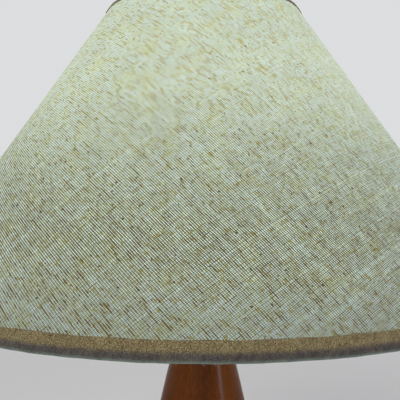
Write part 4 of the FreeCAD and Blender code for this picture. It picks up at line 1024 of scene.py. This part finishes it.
bpy.ops.mesh.primitive_cone_add(
    vertices=5, radius1=FIBRE_RADIUS, radius2=FIBRE_RADIUS * 0.35, depth=FIBRE_LENGTH,
    location=(0, 0, FIBRE_LENGTH / 2),
)
fibre = bpy.context.object
bpy.ops.object.transform_apply(location=True)
cut_into_rings(fibre, FIBRE_LENGTH, 4)
for point in fibre.data.vertices:
    point.co.x += 0.30 * FIBRE_LENGTH * (point.co.z / FIBRE_LENGTH) ** 2
chance = random.Random(7)
fold_middle = on_cone(FOLD_START, FOLD_DEPTH)
fibres = copies(fibre, FIBRE_COUNT)
for number, hair in enumerate(fibres):
    turn = math.tau * (number + chance.uniform(-0.4, 0.4)) / FIBRE_COUNT
    steep = math.radians(chance.uniform(-95, -20))
    outward = Vector((math.sin(turn), -math.cos(turn), 0))
    away = outward * math.cos(steep) + Vector((0, 0, math.sin(steep)))
    sideways = Vector((math.cos(turn), math.sin(turn), 0)) * chance.uniform(-1.6, 1.6)
    root = outward * fold_middle[0] + Vector((0, 0, fold_middle[1])) + away * (FOLD_RADIUS - 0.0002)
    aimed = (away + sideways).to_track_quat("Z", "X") @ Quaternion((0, 0, 1), chance.uniform(0, math.tau))
    size = chance.uniform(0.35, 1.0)
    hair.matrix_world = Matrix.LocRotScale(root, aimed, (1, 1, size))
pick(*fibres)
bpy.ops.object.join()
hem_fibres = settle(fibre, "hem_fibres", "shade", backlit_fibre())

# %% [markdown]
# ## Seam tape inside
# The stiff liner closes at the back too, and a strip of white tape holds its two edges together on the
# inside. It is laid on the liner like the lap outside, only a little wider and smoother.

# %% Tape the liner's seam
TAPE_WIDTH, TAPE_INSET, TAPE_OUT, TAPE_THICKNESS = 0.012, 0.014, -0.00121, 0.0002
tape = strip_on_cone(TAPE_WIDTH, TAPE_INSET, SLOPE_LENGTH - TAPE_INSET, TAPE_OUT, 60)
thicken(tape, TAPE_THICKNESS, 1)
tape_finish = lit_inside("lit_tape", (0.86, 0.84, 0.72), (0.80, 0.79, 0.68))
seam_tape = settle(tape, "seam_tape", "shade", tape_finish)
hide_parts("shade_seam_tape")

# %% [markdown]
# ## Felt under the foot
# A disc of wool felt keeps the weighted foot from scratching a table. It is cut from a flat sheet and glued
# on. Its edge is pressed a little rounder than it was cut, and its face is slightly uneven.

# %% Cut the felt
FELT_RADIUS, FELT_THICKNESS = 0.044, 0.0025
PRESSED_EDGE, UNEVEN_FACE = 0.0003, 0.00012


def wool_felt():
    made, net, shader, here = material(
        "wool_felt", Roughness=0.96, Specular_IOR_Level=0.1, Sheen_Weight=0.25, Sheen_Roughness=0.5,
    )
    fibres = noise(net, here, 1500.0, 4.0, 0.75)
    mottled = noise(net, here, 220.0, 3.0, 0.6)
    tone = mix(net, spread(net, fibres, 0.3, 0.7), (0.026, 0.042, 0.028), (0.070, 0.098, 0.068))
    tone = mix(net, spread(net, mottled, 0.45, 0.75, 0.0, 0.5), tone, (0.045, 0.060, 0.045))
    lint = spread(net, noise(net, stretched(net, here, (1.0, 0.25, 1.0)), 900.0, 1.0), 0.72, 0.78)
    tone = mix(net, times(net, lint, 0.6), tone, (0.20, 0.20, 0.18))
    wire(net, shader, Base_Color=tone, Normal=bump(net, fibres, 0.0004))
    return made


ring_shares = (0.94, 0.82, 0.68, 0.52, 0.36, 0.2, 0.06)
felt_rings = [FELT_RADIUS, FELT_RADIUS - 0.0004] + [FELT_RADIUS * share for share in ring_shares]
felt = ring_wall([(radius, 0.0) for radius in felt_rings], 192)
edit(felt)
bpy.ops.mesh.select_all(action="DESELECT")
shape = bmesh.from_edit_mesh(felt.data)
for edge in shape.edges:
    edge.select_set(max(end.co.xy.length for end in edge.verts) < FELT_RADIUS * 0.07)
bmesh.update_edit_mesh(felt.data)
bpy.ops.mesh.edge_face_add()
bpy.ops.mesh.poke()
face_outwards()
object_mode()
if felt.data.polygons[0].normal.z > 0:
    felt.data.flip_normals()
for point in felt.data.vertices:
    reach, turn = point.co.xy.length, around(point.co)
    inside = 1 - (reach / FELT_RADIUS) ** 2
    point.co.z = UNEVEN_FACE * inside * (1 + math.sin(3 * turn + reach * 170) * math.cos(5 * turn - reach * 240))
    if reach > FELT_RADIUS - 0.0001:
        point.co.z += PRESSED_EDGE
thicken(felt, FELT_THICKNESS - PRESSED_EDGE, -1)
felt_pad = settle(felt, "felt_disc", "base", wool_felt())
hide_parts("felt_pad")
heights = [point.co.z * 1000 for point in felt_pad.data.vertices]
print("felt from", round(min(heights), 2), "to", round(max(heights), 2), "mm")

# %% [markdown]
# ## Grip ribs on the knob
# The switch's turn-knob has low ribs on both faces of its blade, so that fingers don't slip. One rib is a
# ball, cut flat at its back and pulled long, and its copies stand in two rows. They could be a bump in the
# finish, but a bump stays flat where the blade is seen from its edge.

# %% Set the ribs
KNOB_HEIGHT, BLADE_FACE = 0.3352, 0.0021  # the knob's axis above the table, and half the blade's thickness
RIB_PITCH, RIBS_PER_FACE = 0.00135, 7
RIB_MIDDLE, RIB_SIZE = -0.0314, (0.0004, 0.0039, 0.00045)
RIB_CUT = -0.25  # where the ball of radius 1 is cut, before it is pulled long
bpy.ops.mesh.primitive_uv_sphere_add(segments=20, ring_count=12, radius=1)
rib = bpy.context.object
edit(rib)
bpy.ops.mesh.select_all(action="SELECT")
bpy.ops.mesh.bisect(plane_co=(RIB_CUT, 0, 0), plane_no=(1, 0, 0), clear_inner=True, use_fill=True)
face_outwards()
object_mode()
rib.scale = RIB_SIZE
bpy.ops.object.transform_apply(scale=True)
ribs = copies(rib, 2 * RIBS_PER_FACE)
for number, copied in enumerate(ribs):
    step = number % RIBS_PER_FACE - (RIBS_PER_FACE - 1) / 2
    far_face = number >= RIBS_PER_FACE
    copied.location = (-BLADE_FACE if far_face else BLADE_FACE, RIB_MIDDLE, KNOB_HEIGHT + step * RIB_PITCH)
    copied.rotation_euler = (0, 0, math.pi if far_face else 0)
pick(*ribs)
bpy.ops.object.join()
settle(rib, "knob_ribs", "switch", finish_of["switch_knob"])
